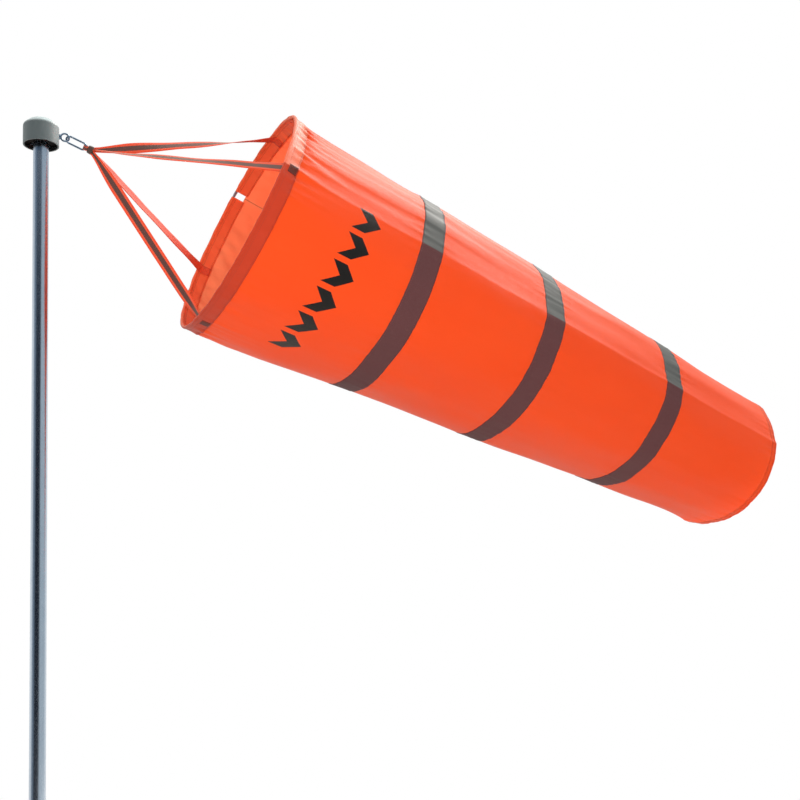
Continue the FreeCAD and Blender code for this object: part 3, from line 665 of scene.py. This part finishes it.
def dress(piece, face, back=None):
    """Smooth faces, and the materials of face and back, given before a piece is thickened."""
    mesh = piece.data
    mesh.materials.clear()
    mesh.materials.append(face)
    mesh.materials.append(back or face)
    for polygon in mesh.polygons:
        polygon.use_smooth = True
    mesh.update()


# ------------ shape of the sock

SKIN_SET = 0.0006
CLOTH_THICK = 0.0006
RIPPLE_RADIUS = 0.26
GATHER_PITCH = math.radians(6.5)
BOTTOM_TURN = math.radians(199)


def ripple(turn, seed, wave):
    """Smooth noise round the sock that joins up with itself; wave is its length in metres."""
    reach = RIPPLE_RADIUS / wave
    return noise.noise(Vector((math.cos(turn) * reach, math.sin(turn) * reach, seed)))


def turn_from(turn, centre):
    """Shortest way round from a centre, minus where the turn is the smaller one."""
    return (turn - centre + math.pi) % TAU - math.pi


def near(turn, centre, width):
    """1 at a centre, falling off over a width round the sock."""
    return math.exp(-(turn_from(turn, centre) / width) ** 2)


def near_degrees(turn, centre, width):
    return near(turn, math.radians(centre), math.radians(width))


def hem_gathers(s, turn, past_hem):
    """Cloth drawn up where it is sewn into the mouth hem, most of all on top."""
    upper = 0.30 + 1.0 * near_degrees(turn, 40, 42) + 0.35 * near_degrees(turn, 178, 30)
    loose = ripple(turn, 3.1 + s * 5, 0.015)
    lift = 0.0080 * upper * loose * math.exp(-past_hem / 0.050) * min(1.0, s / 0.034)
    wander = 0.25 * noise.noise(Vector((turn * 3, s * 20, 5.0)))
    folds = math.sin((turn / GATHER_PITCH + wander) * TAU)
    return lift + 0.0032 * near_degrees(turn, 36, 38) * folds * math.exp(-((s - 0.030) / 0.030) ** 2)


def long_folds(s, turn, past_hem):
    """Slack folds that run from the hem along the top."""
    fold = ripple(turn, 71.0 + s * 1.6, 0.020)
    return 0.0055 * fold * near_degrees(turn, 32, 45) * math.exp(-past_hem / 0.35) \
        * min(1.0, past_hem / 0.05)


def band_puckers(s, turn):
    """Fine puckers along the edges of the bands."""
    return sum(0.0016 * ripple(turn, 11 + seam * 20, 0.014) * math.exp(-abs(s - seam) / 0.022)
               for tape in TAPES for seam in tape)


def tail_shape(s, turn):
    """Puckers at the tail hem, and the flare of its lower edge."""
    from_hem = abs(LENGTH - TAIL_HEM - s)
    return 0.0022 * ripple(turn, 31.0, 0.018) * math.exp(-from_hem / 0.035) \
        + 0.0085 * near(turn, BOTTOM_TURN, 0.30) * math.exp(-from_hem / 0.045)


def broad_waves(s, turn):
    """Uneven fill of wind along the whole sock."""
    wide = noise.noise(Vector((math.cos(turn) * 1.6, math.sin(turn) * 1.6, s * 3.2)))
    small = noise.noise(Vector((math.cos(turn) * 4.5, math.sin(turn) * 4.5, s * 6.0 + 9)))
    return 0.0060 * wide + 0.0030 * small


def crease(turn):
    """Flat above the crease that runs along the near side."""
    above = max(0.0, -turn_from(turn, CREASE_TURN))
    return -0.0085 * (1 - math.exp(-above / 0.10)) * math.exp(-(above / 0.8) ** 2)


def far_wrinkles(s, turn):
    """Wrinkles of the far wall, which show through the mouth."""
    fade = near_degrees(turn, 255, 50) * math.exp(-((s - 0.10) / 0.10) ** 2)
    return 0.0065 * fade * noise.noise(Vector((turn * 7, s * 26 + turn * 6, 2.0)))


def lap_seam(turn, past_hem):
    """The doubled cloth of the seam that closes the sock."""
    return 0.0008 * math.exp(-(turn_from(turn, SEAM_TURN) / 0.018) ** 4) * min(1.0, past_hem / 0.01)


def strap_pull(turn, past_hem):
    """The straps draw the cloth in behind the hem."""
    pull = sum(near_degrees(turn, centre, 7) for centre in STRAP_TURNS.values())
    return -0.0030 * pull * math.exp(-past_hem / 0.12)


def pucker(s, turn):
    """How far the cloth stands in or out of the plain cone at a place."""
    past_hem = max(0.0, s - HEM_LENGTH)
    return hem_gathers(s, turn, past_hem) + long_folds(s, turn, past_hem) + band_puckers(s, turn) \
        + tail_shape(s, turn) + broad_waves(s, turn) + crease(turn) + far_wrinkles(s, turn) \
        + lap_seam(turn, past_hem) + strap_pull(turn, past_hem)


def skin_radius(s, turn):
    """Radius of the cloth's outer face; the hoop holds it round at the mouth."""
    return cloth_radius(s) - SKIN_SET + pucker(s, turn) * min(1.0, s / HEM_LENGTH)


def cloth_surface(s, turn, extra=0.0):
    return on_sock(s, turn, skin_radius(s, turn) + extra)


def tube_of_cloth(name, start, end, rows, columns, extra, thickness, face, back):
    """Length of the sock or a band round it; extra lifts it off the cloth below."""
    def place(u, v):
        return cloth_surface(start + (end - start) * v, u * TAU, extra)

    def chart(u, v):
        return (u * TAU * UV_RADIUS, start + (end - start) * v)

    piece = sheet_of(name, columns, rows, place, chart, closed=True)
    face_outwards(piece, axis_point)
    dress(piece, face, back)
    thicken(piece, thickness)
    return piece


def cone_area(start, end):
    slant = math.hypot(end - start, cloth_radius(start) - cloth_radius(end))
    return math.pi * (cloth_radius(start) + cloth_radius(end)) * slant


def declare(start, end, rests_on):
    """Works out the flat size of a length of the sock, its girth at the wide end by its length, and
    keeps none of it.
    """
    width = TAU * cloth_radius(start)
    round(end - start, 3)
    round(cone_area(start, end), 4)


def put_on(piece, body, node=None):
    """Body that carries a piece, and the solid that it stands for, which is hidden."""
    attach(piece, body)
    if node:
        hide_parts(node)


TAPE_MIDDLE = [(start + end) / 2 for start, end in TAPES]
HEM_LAP = 0.005
TAIL_TURN_IN = 0.004
CLOTHS = (
    ("front_cloth", HEM_LENGTH - HEM_LAP, TAPE_MIDDLE[0], 80, 600),
    ("second_cloth", TAPE_MIDDLE[0], TAPE_MIDDLE[1], 80, 400),
    ("third_cloth", TAPE_MIDDLE[1], TAPE_MIDDLE[2], 80, 400),
    ("tail_cloth", TAPE_MIDDLE[2], LENGTH - TAIL_TURN_IN, 84, 400),
)
sheets = {}
for name, start, end, rows, columns in CLOTHS:
    material = PRINTED_SOCK if name == "front_cloth" else SOCK
    sheet = tube_of_cloth(name, start, end, rows, columns, 0.0, CLOTH_THICK, material, SOCK_INSIDE_LIT)
    declare(start, end, ["hoop" if name == "front_cloth" else "front_cloth"])
    sheets[name] = sheet
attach(sheets["front_cloth"], "sock_front")
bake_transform(sheets["second_cloth"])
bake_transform(sheets["third_cloth"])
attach(sheets["tail_cloth"], "sock_tail")
for length in ("front", "second", "third", "tail"):
    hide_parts(length + "_panel")

# ------------ bands and tail hem

BANDS = (("front", "sock_front", TAPES[0]), ("middle", "sock_middle", TAPES[1]),
         ("rear", "sock_tail", TAPES[2]))
for label, body, (start, end) in BANDS:
    tape = tube_of_cloth(label + "_tape", start, end, 18, 400, 0.0007, 0.0006, TAPE, TAPE)
    declare(start, end, ["front_cloth"])
    put_on(tape, body, label + "_band")

tail_start = LENGTH - TAIL_HEM
tail_hem = tube_of_cloth("tail_hem_fold", tail_start, LENGTH, 10, 400, 0.0003, 0.0010, SOCK, SOCK_INSIDE_LIT)
declare(tail_start, LENGTH, ["tail_cloth"])
put_on(tail_hem, "sock_tail", "tail_edge")

# ------------ mouth hem

HEM_WALL = 0.0007
HEM_INSIDE = 0.0028
HEM_MEETS_HOOP = 0.0095
POCKET_SLACK = 0.0004
POCKET_FIRST = math.radians(62)
POCKET_SWEEP = math.radians(236)
SKIRT_STEPS = 12
LOOP_STEPS = 16
SECTION_POINTS = 2 * (SKIRT_STEPS + 1) + LOOP_STEPS + 1


def hem_section(turn):
    """Points (s, radius) from the hem's outer edge, round the hoop, to its inner edge."""
    outer = []
    inner = []
    for step in range(SKIRT_STEPS + 1):
        s = HEM_LENGTH - (HEM_LENGTH - HEM_MEETS_HOOP) * step / SKIRT_STEPS
        skin = skin_radius(s, turn)
        outer.append((s, skin + HEM_PROUD + HEM_WALL))
        inner.append((s, skin - HEM_INSIDE + HEM_PROUD))
    pocket = HEM_ROUND - POCKET_SLACK
    scallop = 0.0016 * ripple(turn, 57.0, 0.030)
    loop = []
    for step in range(LOOP_STEPS + 1):
        angle = POCKET_FIRST + POCKET_SWEEP * step / LOOP_STEPS
        loop.append((HOOP_SET + (pocket + scallop) * math.cos(angle),
                     HOOP_RADIUS + pocket * math.sin(angle)))
    return outer + loop + inner[::-1]


def hem_centre(point):
    """Middle of the hem's wall near a point, or of the hoop for the pocket."""
    along = (point - MOUTH).dot(AHEAD)
    out = (point - MOUTH - AHEAD * along).normalized()
    if along > 0.009:
        return MOUTH + AHEAD * along + out * (cloth_radius(along) - 0.0012)
    return MOUTH + AHEAD * HOOP_SET + out * HOOP_RADIUS


def hem_piece():
    """Doubled cloth round the hoop, cut away at the hoop's joint."""
    sections = {}

    def place(u, v):
        turn = u * TAU
        key = round(u, 7)
        if key not in sections:
            sections[key] = hem_section(turn)
        s, radius = sections[key][round(v * (SECTION_POINTS - 1))]
        return on_sock(s, turn, radius)

    def chart(u, v):
        return (u * TAU * UV_RADIUS, v * HEM_DEVELOPED)

    def keep(u, v):
        return abs(turn_from(u * TAU, SEAM_TURN)) > GAP_HALF

    hem = sheet_of("mouth_hem_fold", 720, SECTION_POINTS - 1, place, chart, closed=True, keep=keep)
    face_outwards(hem, hem_centre)
    dress(hem, HEM)
    thicken(hem, HEM_WALL)
    # Faces turned to the axis take the bright inside copy of the cloth: painted light.
    for polygon in hem.data.polygons:
        if (polygon.center - axis_point(polygon.center)).dot(polygon.normal) < 0:
            polygon.material_index = 1
    hem.data.materials[1] = HEM_FOLD_INSIDE_LIT
    put_on(hem, "sock_front", "mouth_hem")


hem_piece()

# ------------ straps

WALL_CLEAR = 0.0009
WALL_FIRST = 0.0125
WALL_LAST = 0.0325
ROUNDING = 0.006
GATHER_BEFORE = 0.008
GATHER_AFTER = 0.028
STRAP_SAG = 0.0012
GATHER_WIDE = 0.009
STRAP_WIDE = 0.022
STRAP_THICK = 0.0009
STRAP_SEWN = 0.024
WIDENING_RUN = 0.100
# How far each strap lies twisted, in degrees: by the gather, halfway and shortly before the hem.
TWISTS = {"near_top": (40, 26, 12), "near_bottom": (63, 63, 45), "far_bottom": (15, 21, 14),
          "far_top": (-119, -68, -20)}
TWIST_PLACES = (0.10, 0.50, 0.85, 1.0)


def eased(share):
    """Smooth step from 0 to 1."""
    share = max(0.0, min(1.0, share))
    return share * share * (3 - 2 * share)


def wall_radius(s, turn):
    """Radius of the hem's inner face."""
    return skin_radius(s, turn) - HEM_INSIDE + HEM_PROUD - HEM_WALL


def strap_line(turn):
    """Points of a strap's middle, from the gather to its end inside the hem."""
    first = at_mouth(WALL_FIRST, turn, wall_radius(WALL_FIRST, turn) - WALL_CLEAR)
    last = at_mouth(WALL_LAST, turn, wall_radius(WALL_LAST, turn) - WALL_CLEAR)
    run = (first - KNOT).normalized()
    wall = (last - first).normalized()
    start = KNOT - DOWNWIND * GATHER_BEFORE
    spread = KNOT + run * GATHER_AFTER
    bend = first - run * ROUNDING
    after = first + wall * ROUNDING

    def rounded(a, corner, b, share):
        return a.lerp(corner, share).lerp(corner.lerp(b, share), share)

    points = [rounded(start, KNOT, spread, step / 12) for step in range(12)]
    for step in range(48):
        share = step / 48
        points.append(spread.lerp(bend, share) + Vector((0, 0, -STRAP_SAG * math.sin(math.pi * share))))
    points += [rounded(bend, first, after, step / 6) for step in range(7)]
    points += [after.lerp(last, step / 8) for step in range(1, 9)]
    return points


def twist_at(twists, share):
    """Eased between the three places, and flat where the strap meets the hem."""
    angles = twists + (0,)
    stretches = zip(TWIST_PLACES, TWIST_PLACES[1:], angles, angles[1:])
    for start, end, first, last in stretches:
        if share < end:
            return math.radians(first + (last - first) * eased((share - start) / (end - start)))
    return 0.0


def strap_piece(name, degrees):
    """One strap, narrow and cupped in the gather and at its full width from there on."""
    turn = math.radians(degrees)
    line = strap_line(turn)
    lengths = [0.0]
    for a, b in zip(line, line[1:]):
        lengths.append(lengths[-1] + (b - a).length)
    total = lengths[-1]
    side = around(turn)

    def place(u, v):
        index = round(v * (len(line) - 1))
        run = lengths[index]
        ahead = line[min(index + 1, len(line) - 1)] - line[max(index - 1, 0)]
        out = side.cross(ahead).normalized()
        if out.dot(radial(turn)) < 0:
            out = -out
        twist = twist_at(TWISTS[name], run / (total - STRAP_SEWN))
        edge = side * math.cos(twist) + out * math.sin(twist)
        out = out * math.cos(twist) - side * math.sin(twist)
        grown = eased(run / WIDENING_RUN)
        across = (u - 0.5) * (GATHER_WIDE + (STRAP_WIDE - GATHER_WIDE) * grown)
        cup = 0.0016 * (1 - grown) * (abs(2 * u - 1) ** 1.5)
        free = max(0.0, min(1.0, (total - 0.04 - run) / 0.1)) * grown
        wave = 0.0016 * noise.noise(Vector((run * 14, degrees * 0.37, u * 0.8))) * free
        return line[index] + out * (cup + wave) + edge * across

    def chart(u, v):
        return ((u - 0.5) * STRAP_WIDE, lengths[round(v * (len(line) - 1))])

    piece = sheet_of("strap_ribbon_" + name, 8, len(line) - 1, place, chart)
    face_outwards(piece, axis_point)
    dress(piece, RIBBON, RIBBON_BACK)
    thicken(piece, STRAP_THICK, 0.0)
    put_on(piece, "sock_front", "strap_" + name)


for strap_name, strap_turn in STRAP_TURNS.items():
    strap_piece(strap_name, strap_turn)

# ------------ gather round the snap

SNAP_ROLL = math.radians(145)
ROLLED = LEFT * math.cos(SNAP_ROLL) + UP * math.sin(SNAP_ROLL)
FACE = UP * math.cos(SNAP_ROLL) - LEFT * math.sin(SNAP_ROLL)
WIRE_BEHIND = 0.0018
LOOP_RADIUS = 0.0031
LOOP_TAIL = 0.0158
LOOP_PINCH = 0.0022
BOUND_FROM = 0.0038
BOUND_TO = 0.0145


def gather_path():
    """Closed loop in the snap's plane: round the wire, then side by side to the straps."""
    points = []
    for step in range(25):
        angle = math.pi / 2 + math.pi * step / 24
        points.append((LOOP_RADIUS * math.cos(angle) - WIRE_BEHIND, LOOP_RADIUS * math.sin(angle)))
    for step in range(1, 15):
        share = step / 14
        pinch = math.sin(math.pi / 2 * min(1.0, max(0.0, share * 2.2 - 0.25)))
        points.append((LOOP_TAIL * share - WIRE_BEHIND, LOOP_PINCH * pinch - LOOP_RADIUS))
    closing = [(x, -y) for x, y in points[:24:-1]]
    return points + closing


def gather_piece():
    """The straps' common loop through the snap."""
    path = gather_path()
    steps = len(path)

    def place(u, v):
        index = round(v * steps) % steps
        x, y = path[index]
        across = (u - 0.5) * (0.0088 + 0.0052 * eased((x - 0.002) / 0.007))
        ridge = 0.0004 * math.sin(u * TAU * 2.5 + x * 300)
        outward = 1 if y > 0 else -1
        return STRAP_PIVOT + DOWNWIND * x + FACE * (y + ridge * outward) + ROLLED * across

    def chart(u, v):
        return ((u - 0.5) * 0.014, v * 0.06)

    piece = sheet_of("strap_loop", 10, steps, place, chart, closed=True)
    centre = STRAP_PIVOT + DOWNWIND * 0.002

    def middle(point):
        offset = (point - centre).dot(ROLLED)
        forward = (point - centre).dot(DOWNWIND)
        return centre + ROLLED * offset + DOWNWIND * forward * 0.9

    face_outwards(piece, middle)
    dress(piece, RIBBON)
    thicken(piece, 0.0016, 0.0)
    put_on(piece, "sock_front", "strap_gather")


def binding_piece():
    """Bound thread that holds the four straps together behind the snap, in seven turns."""
    def place(u, v):
        x = BOUND_FROM + (BOUND_TO - BOUND_FROM) * u
        turns = 0.0003 * math.sin(u * TAU * 7)
        round_end = 0.0012 * max(0.0, abs(2 * u - 1) - 0.7) / 0.3
        wide = (0.0086 + 0.0010 * u + turns - round_end) * math.cos(v * TAU)
        high = (0.0064 + 0.0014 * u + turns - round_end) * math.sin(v * TAU)
        return STRAP_PIVOT + DOWNWIND * x + ROLLED * wide + FACE * high

    def chart(u, v):
        return (u * 0.009, v * 0.045)

    piece = sheet_of("strap_binding", 28, 40, place, chart, closed=True)
    face_outwards(piece, axis_point)
    dress(piece, WRAP)
    thicken(piece, 0.0010)
    put_on(piece, "sock_front")


gather_piece()
binding_piece()

# ------------ stitching

HEM_SEAMS = (0.0125, 0.0320)
TAIL_SEAMS = (LENGTH - 0.016, LENGTH - 0.004)
HEM_STITCH = 0.0032
HEM_STITCH_PITCH = 0.0046
TAPE_STITCH = 0.0034
TAPE_STITCH_PITCH = 0.0048
TAPE_STITCH_INSET = 0.0035
STITCH_LIFT = 0.0008
THREAD = 0.00035
FINE_THREAD = 0.00030
GAP_MARGIN = 0.008


def stitch_blank():
    """Corners and faces of one stitch: thread bowed along X, with a half length and radius of 1."""
    deselect()
    bpy.ops.mesh.primitive_cylinder_add(vertices=6, radius=1.0, depth=2.0, end_fill_type="TRIFAN",
                                        rotation=(0, math.pi / 2, 0))
    blank = bpy.context.object
    bpy.ops.object.transform_apply(location=True, rotation=True, scale=True)
    work = bmesh.new()
    work.from_mesh(blank.data)
    bmesh.ops.bisect_plane(work, geom=work.verts[:] + work.edges[:] + work.faces[:],
                           plane_co=(0, 0, 0), plane_no=(1, 0, 0))
    for vertex in work.verts:
        if abs(vertex.co.x) > 0.9:
            vertex.co.y *= 0.55
            vertex.co.z = vertex.co.z * 0.55 - 0.7
    corners = [tuple(v.co) for v in work.verts]
    faces = [[v.index for v in face.verts] for face in work.faces]
    work.free()
    bpy.data.objects.remove(blank)
    return corners, faces


STITCH_CORNERS, STITCH_FACES = stitch_blank()


def stitch_row(name, spots, length, thick, material, body):
    """Stitches at (centre, along, outward) spots, as one piece."""
    corners = []
    faces = []
    for centre, along, outward in spots:
        side = outward.cross(along).normalized()
        first = len(corners)
        for x, y, z in STITCH_CORNERS:
            corners.append(centre + along * (x * length / 2) + side * (y * thick)
                           + outward * (z * thick + thick * 0.15))
        faces += [[first + index for index in face] for face in STITCH_FACES]
    mesh = bpy.data.meshes.new(name)
    mesh.from_pydata(corners, [], faces)
    mesh.update()
    piece = bpy.data.objects.new(name, mesh)
    bpy.context.scene.collection.objects.link(piece)
    work = bmesh.new()
    work.from_mesh(mesh)
    bmesh.ops.recalc_face_normals(work, faces=work.faces)
    work.to_mesh(mesh)
    work.free()
    dress(piece, material)
    put_on(piece, body)


def ring_spots(s, pitch, extra, skip=None, radius_at=None):
    """Spots of a seam round the sock, on its face or at a radius on the mouth's axis."""
    count = int(TAU * cloth_radius(s) / pitch)
    spots = []
    for index in range(count):
        turn = TAU * index / count
        if skip and skip(turn):
            continue
        if radius_at:
            centre = at_mouth(s, turn, radius_at(s, turn))
        else:
            centre = cloth_surface(s, turn, extra)
        spots.append((centre, around(turn), radial(turn)))
    return spots


for label, body, (start, end) in BANDS:
    spots = ring_spots(start + TAPE_STITCH_INSET, TAPE_STITCH_PITCH, STITCH_LIFT)
    spots += ring_spots(end - TAPE_STITCH_INSET, TAPE_STITCH_PITCH, STITCH_LIFT)
    stitch_row(label + "_tape_stitches", spots, TAPE_STITCH, THREAD, ORANGE_THREAD, body)


def hem_outside(s, turn):
    """Radius of the hem's outer face."""
    return skin_radius(s, turn) + HEM_PROUD + HEM_WALL


def in_gap(turn):
    return abs(turn_from(turn, SEAM_TURN)) < GAP_HALF + GAP_MARGIN


hem_spots = []
for s in HEM_SEAMS:
    inner = ring_spots(s, HEM_STITCH_PITCH, 0.0, in_gap, wall_radius)
    hem_spots += ring_spots(s, HEM_STITCH_PITCH, 0.0, in_gap, hem_outside)
    hem_spots += [(centre, along, -outward) for centre, along, outward in inner]
stitch_row("mouth_hem_stitches", hem_spots, HEM_STITCH, THREAD, DARK_THREAD, "sock_front")
tail_spots = []
for s in TAIL_SEAMS:
    tail_spots += ring_spots(s, HEM_STITCH_PITCH, STITCH_LIFT)
stitch_row("tail_hem_stitches", tail_spots, HEM_STITCH, FINE_THREAD, DARK_THREAD, "sock_tail")

# ------------ strap ends on the hem

PATCH_THICK = 0.0008
PATCH_WIDE = 0.019
PATCH_FIRST = 0.0140
PATCH_LONG = 0.0185
BOX_HALF_WIDE = 0.0075
BOX_FIRST = 0.0160
BOX_LAST = 0.0305
BOX_PITCH = 0.0030
BOX_STITCH = 0.0024
BOX_THREAD = 0.0004


def paint_strap_shadow(name, degrees):
    """Painted shadow: a short dark sheet on the hem's outside, over the place where a strap is sewn in,
    standing in for the strap's shadow through the cloth.
    """
    middle = math.radians(degrees)

    def place(u, v):
        s = PATCH_FIRST + PATCH_LONG * v
        turn = middle + (u - 0.5) * PATCH_WIDE / cloth_radius(s)
        return at_mouth(s, turn, hem_outside(s, turn) + PATCH_THICK)

    def chart(u, v):
        return ((u - 0.5) * 0.0098, v * PATCH_LONG)

    piece = sheet_of("strap_shadow_patch_" + name, 10, 10, place, chart)
    face_outwards(piece, axis_point)
    dress(piece, STRAP_SHADOW_FINISH)
    thicken(piece, PATCH_THICK)
    put_on(piece, "sock_front")


for patch_name, patch_turn in STRAP_TURNS.items():
    paint_strap_shadow(patch_name, patch_turn)


def box_stitches(turn, outside):
    """Square with a cross that holds a strap's end to the hem, seen from one side."""
    spots = []
    corners = ((-BOX_HALF_WIDE, BOX_FIRST), (BOX_HALF_WIDE, BOX_FIRST),
               (BOX_HALF_WIDE, BOX_LAST), (-BOX_HALF_WIDE, BOX_LAST))
    lines = [(corners[i], corners[(i + 1) % 4]) for i in range(4)]
    lines += [(corners[0], corners[2]), (corners[1], corners[3])]
    for (x0, s0), (x1, s1) in lines:
        count = max(2, int(math.hypot(x1 - x0, s1 - s0) / BOX_PITCH))
        for index in range(count):
            share = (index + 0.5) / count
            x = x0 + (x1 - x0) * share
            s = s0 + (s1 - s0) * share
            here = turn + x / cloth_radius(s)
            if outside:
                radius = hem_outside(s, here) + PATCH_THICK
            else:
                radius = wall_radius(s, turn) - 2 * WALL_CLEAR
            direction = (around(here) * (x1 - x0) + DOWNWIND * (s1 - s0)).normalized()
            facing = radial(here) * (1 if outside else -1)
            spots.append((at_mouth(s, here, radius), direction, facing))
    return spots


box_spots = []
for degrees in STRAP_TURNS.values():
    box_spots += box_stitches(math.radians(degrees), True)
    box_spots += box_stitches(math.radians(degrees), False)
stitch_row("strap_end_stitches", box_spots, BOX_STITCH, BOX_THREAD, DARK_THREAD, "sock_front")

# ------------ studio

FLOOR_RADIUS = 2.4


def pale_floor():
    """Round floor, darker where the object stands, as painted shade, and white at its edge."""
    deselect()
    bpy.ops.mesh.primitive_circle_add(vertices=96, radius=FLOOR_RADIUS, fill_type="NGON",
                                      location=(0.9, 0.0, 0.0))
    floor = bpy.context.object
    floor.name = "studio_floor"
    f = new_finish("pale_floor")
    place = f.object_place()
    x, y, _ = f.parts(place)
    away = (x * x + y * y).power(0.5) / FLOOR_RADIUS
    speck = f.grain(place, 14.0, 5.0)
    # Painted shade: darker under the object, lightening to white at the edge.
    shade_rings = ((0.0, (0.55, 0.54, 0.52)), (0.75, (0.66, 0.65, 0.64)), (1.0, (0.88, 0.88, 0.88)))
    tone = f.ramp(away, shade_rings)
    tone = f.blend(speck * 0.06, tone, (0.5, 0.5, 0.5))
    floor.data.materials.append(f.finish(f.surface(Base_Color=tone, Roughness=0.9)))


def studio_world():
    """White behind the object; round it a bright ceiling, a pale right wall and a dark front wall."""
    world = bpy.data.worlds.new("studio")
    bpy.context.scene.world = world
    f = Finish(world)
    x, y, z = f.parts(f.node("ShaderNodeTexCoord").outputs["Generated"])

    def step(value, low, high):
        scaled = (value - low) / (high - low)
        return f.value(f.ramp(scaled.held(), ((0.0, (0, 0, 0)), (1.0, (1, 1, 1)))))

    wall = f.blend(step(x, 0.02, 0.26), (0.012, 0.017, 0.028), (0.56, 0.63, 0.66))
    wall = f.blend(step(x * -1, 0.78, 0.97), wall, (0.24, 0.30, 0.36))
    wall = f.blend(step(y, -0.05, 0.35), wall, (1.05, 1.05, 1.03))
    wall = f.blend(step(z, 0.22, 0.42) * 0.5, wall, (0.16, 0.26, 0.38))
    wall = f.blend(step(z * -1, 0.25, 0.50), wall, (0.13, 0.12, 0.11))
    round_it = f.blend(step(z, 0.42, 0.68), wall, (1.35, 1.30, 1.22))
    soft = f.node("ShaderNodeBackground", Color=round_it, Strength=1.0).outputs[0]
    white = f.node("ShaderNodeBackground", Color=(1, 1, 1), Strength=1.0).outputs[0]
    seen = f.value(f.node("ShaderNodeLightPath").outputs["Is Camera Ray"])
    f.finish(f.mixed(seen, soft, white))


def softbox(name, place, target, wide, tall, watts, colour=(1, 1, 1)):
    """Square light at a place, turned to a target and out of the camera's sight."""
    light = bpy.data.lights.new(name, "AREA")
    light.shape = "RECTANGLE"
    light.size = wide
    light.size_y = tall
    light.energy = watts
    light.color = colour
    lamp = bpy.data.objects.new(name, light)
    lamp.location = place
    lamp.rotation_euler = (Vector(target) - Vector(place)).to_track_quat("-Z", "Y").to_euler()
    bpy.context.scene.collection.objects.link(lamp)
    lamp.visible_camera = False
    return lamp


def studio_lights():
    """One high light for all; the fills light the cloth only, the strip and crown light the rest."""
    middle = (1.05, 0.0, 1.82)
    mouth = (0.52, 0.15, 2.0)
    softbox("high_softbox", (4.4, 1.3, 6.6), middle, 2.4, 2.4, 430, (1.0, 0.97, 0.92))
    fill = softbox("front_fill", (-0.2, -4.4, 1.2), middle, 3.0, 2.4, 152, (1.0, 0.97, 0.95))
    mouth_fill = softbox("mouth_fill", (-1.7, -2.0, 1.5), mouth, 1.2, 1.2, 52, (1.0, 0.96, 0.92))
    strip = softbox("side_strip", (3.4, -0.7, 1.6), (0.0, 0.0, 1.8), 1.0, 3.4, 170, (0.95, 1.0, 0.97))
    crown = softbox("crown_light", (0.2, 0.5, 4.5), (0.0, 0.0, RIM), 0.9, 0.9, 150)
    cloth_only = bpy.data.collections.new("lit_by_the_fills")
    hard_only = bpy.data.collections.new("lit_by_strip_and_crown_light")
    for piece in bpy.context.scene.objects:
        if piece.type == "MESH" and not piece.name.startswith("studio"):
            (hard_only if piece.name in FINISH_OF else cloth_only).objects.link(piece)
    lit_pieces = ((fill, cloth_only), (mouth_fill, cloth_only), (strip, hard_only), (crown, hard_only))
    for lamp, lit in lit_pieces:
        lamp.visible_glossy = False
        lamp.light_linking.receiver_collection = lit


CAMERA_PLACE = Vector((-0.1552, -1.8866, RIM - 0.7708))
CAMERA_LENS = 40.482
CAMERA_YAW = 0.46616
CAMERA_PITCH = 0.12236
CAMERA_ROLL = -0.04352


def camera():
    """Looks up at the sock from below its mouth; angles are in radians, the lens in millimetres."""
    yaw, pitch, roll = CAMERA_YAW, CAMERA_PITCH, CAMERA_ROLL
    forward = Vector((math.sin(yaw) * math.cos(pitch), math.cos(yaw) * math.cos(pitch), math.sin(pitch)))
    right = Vector((math.cos(yaw), -math.sin(yaw), 0))
    above = right.cross(forward)
    level_right = right * math.cos(roll) + above * math.sin(roll)
    level_up = above * math.cos(roll) - right * math.sin(roll)
    data = bpy.data.cameras.new("camera")
    data.sensor_width = 36.0
    data.lens = CAMERA_LENS
    eye = bpy.data.objects.new("camera", data)
    turn = Matrix((level_right, level_up, -forward)).transposed().to_4x4()
    eye.matrix_world = Matrix.Translation(CAMERA_PLACE) @ turn
    bpy.context.scene.collection.objects.link(eye)
    bpy.context.scene.camera = eye


pale_floor()
studio_world()
studio_lights()
camera()
bpy.context.scene.view_settings.view_transform = "Standard"
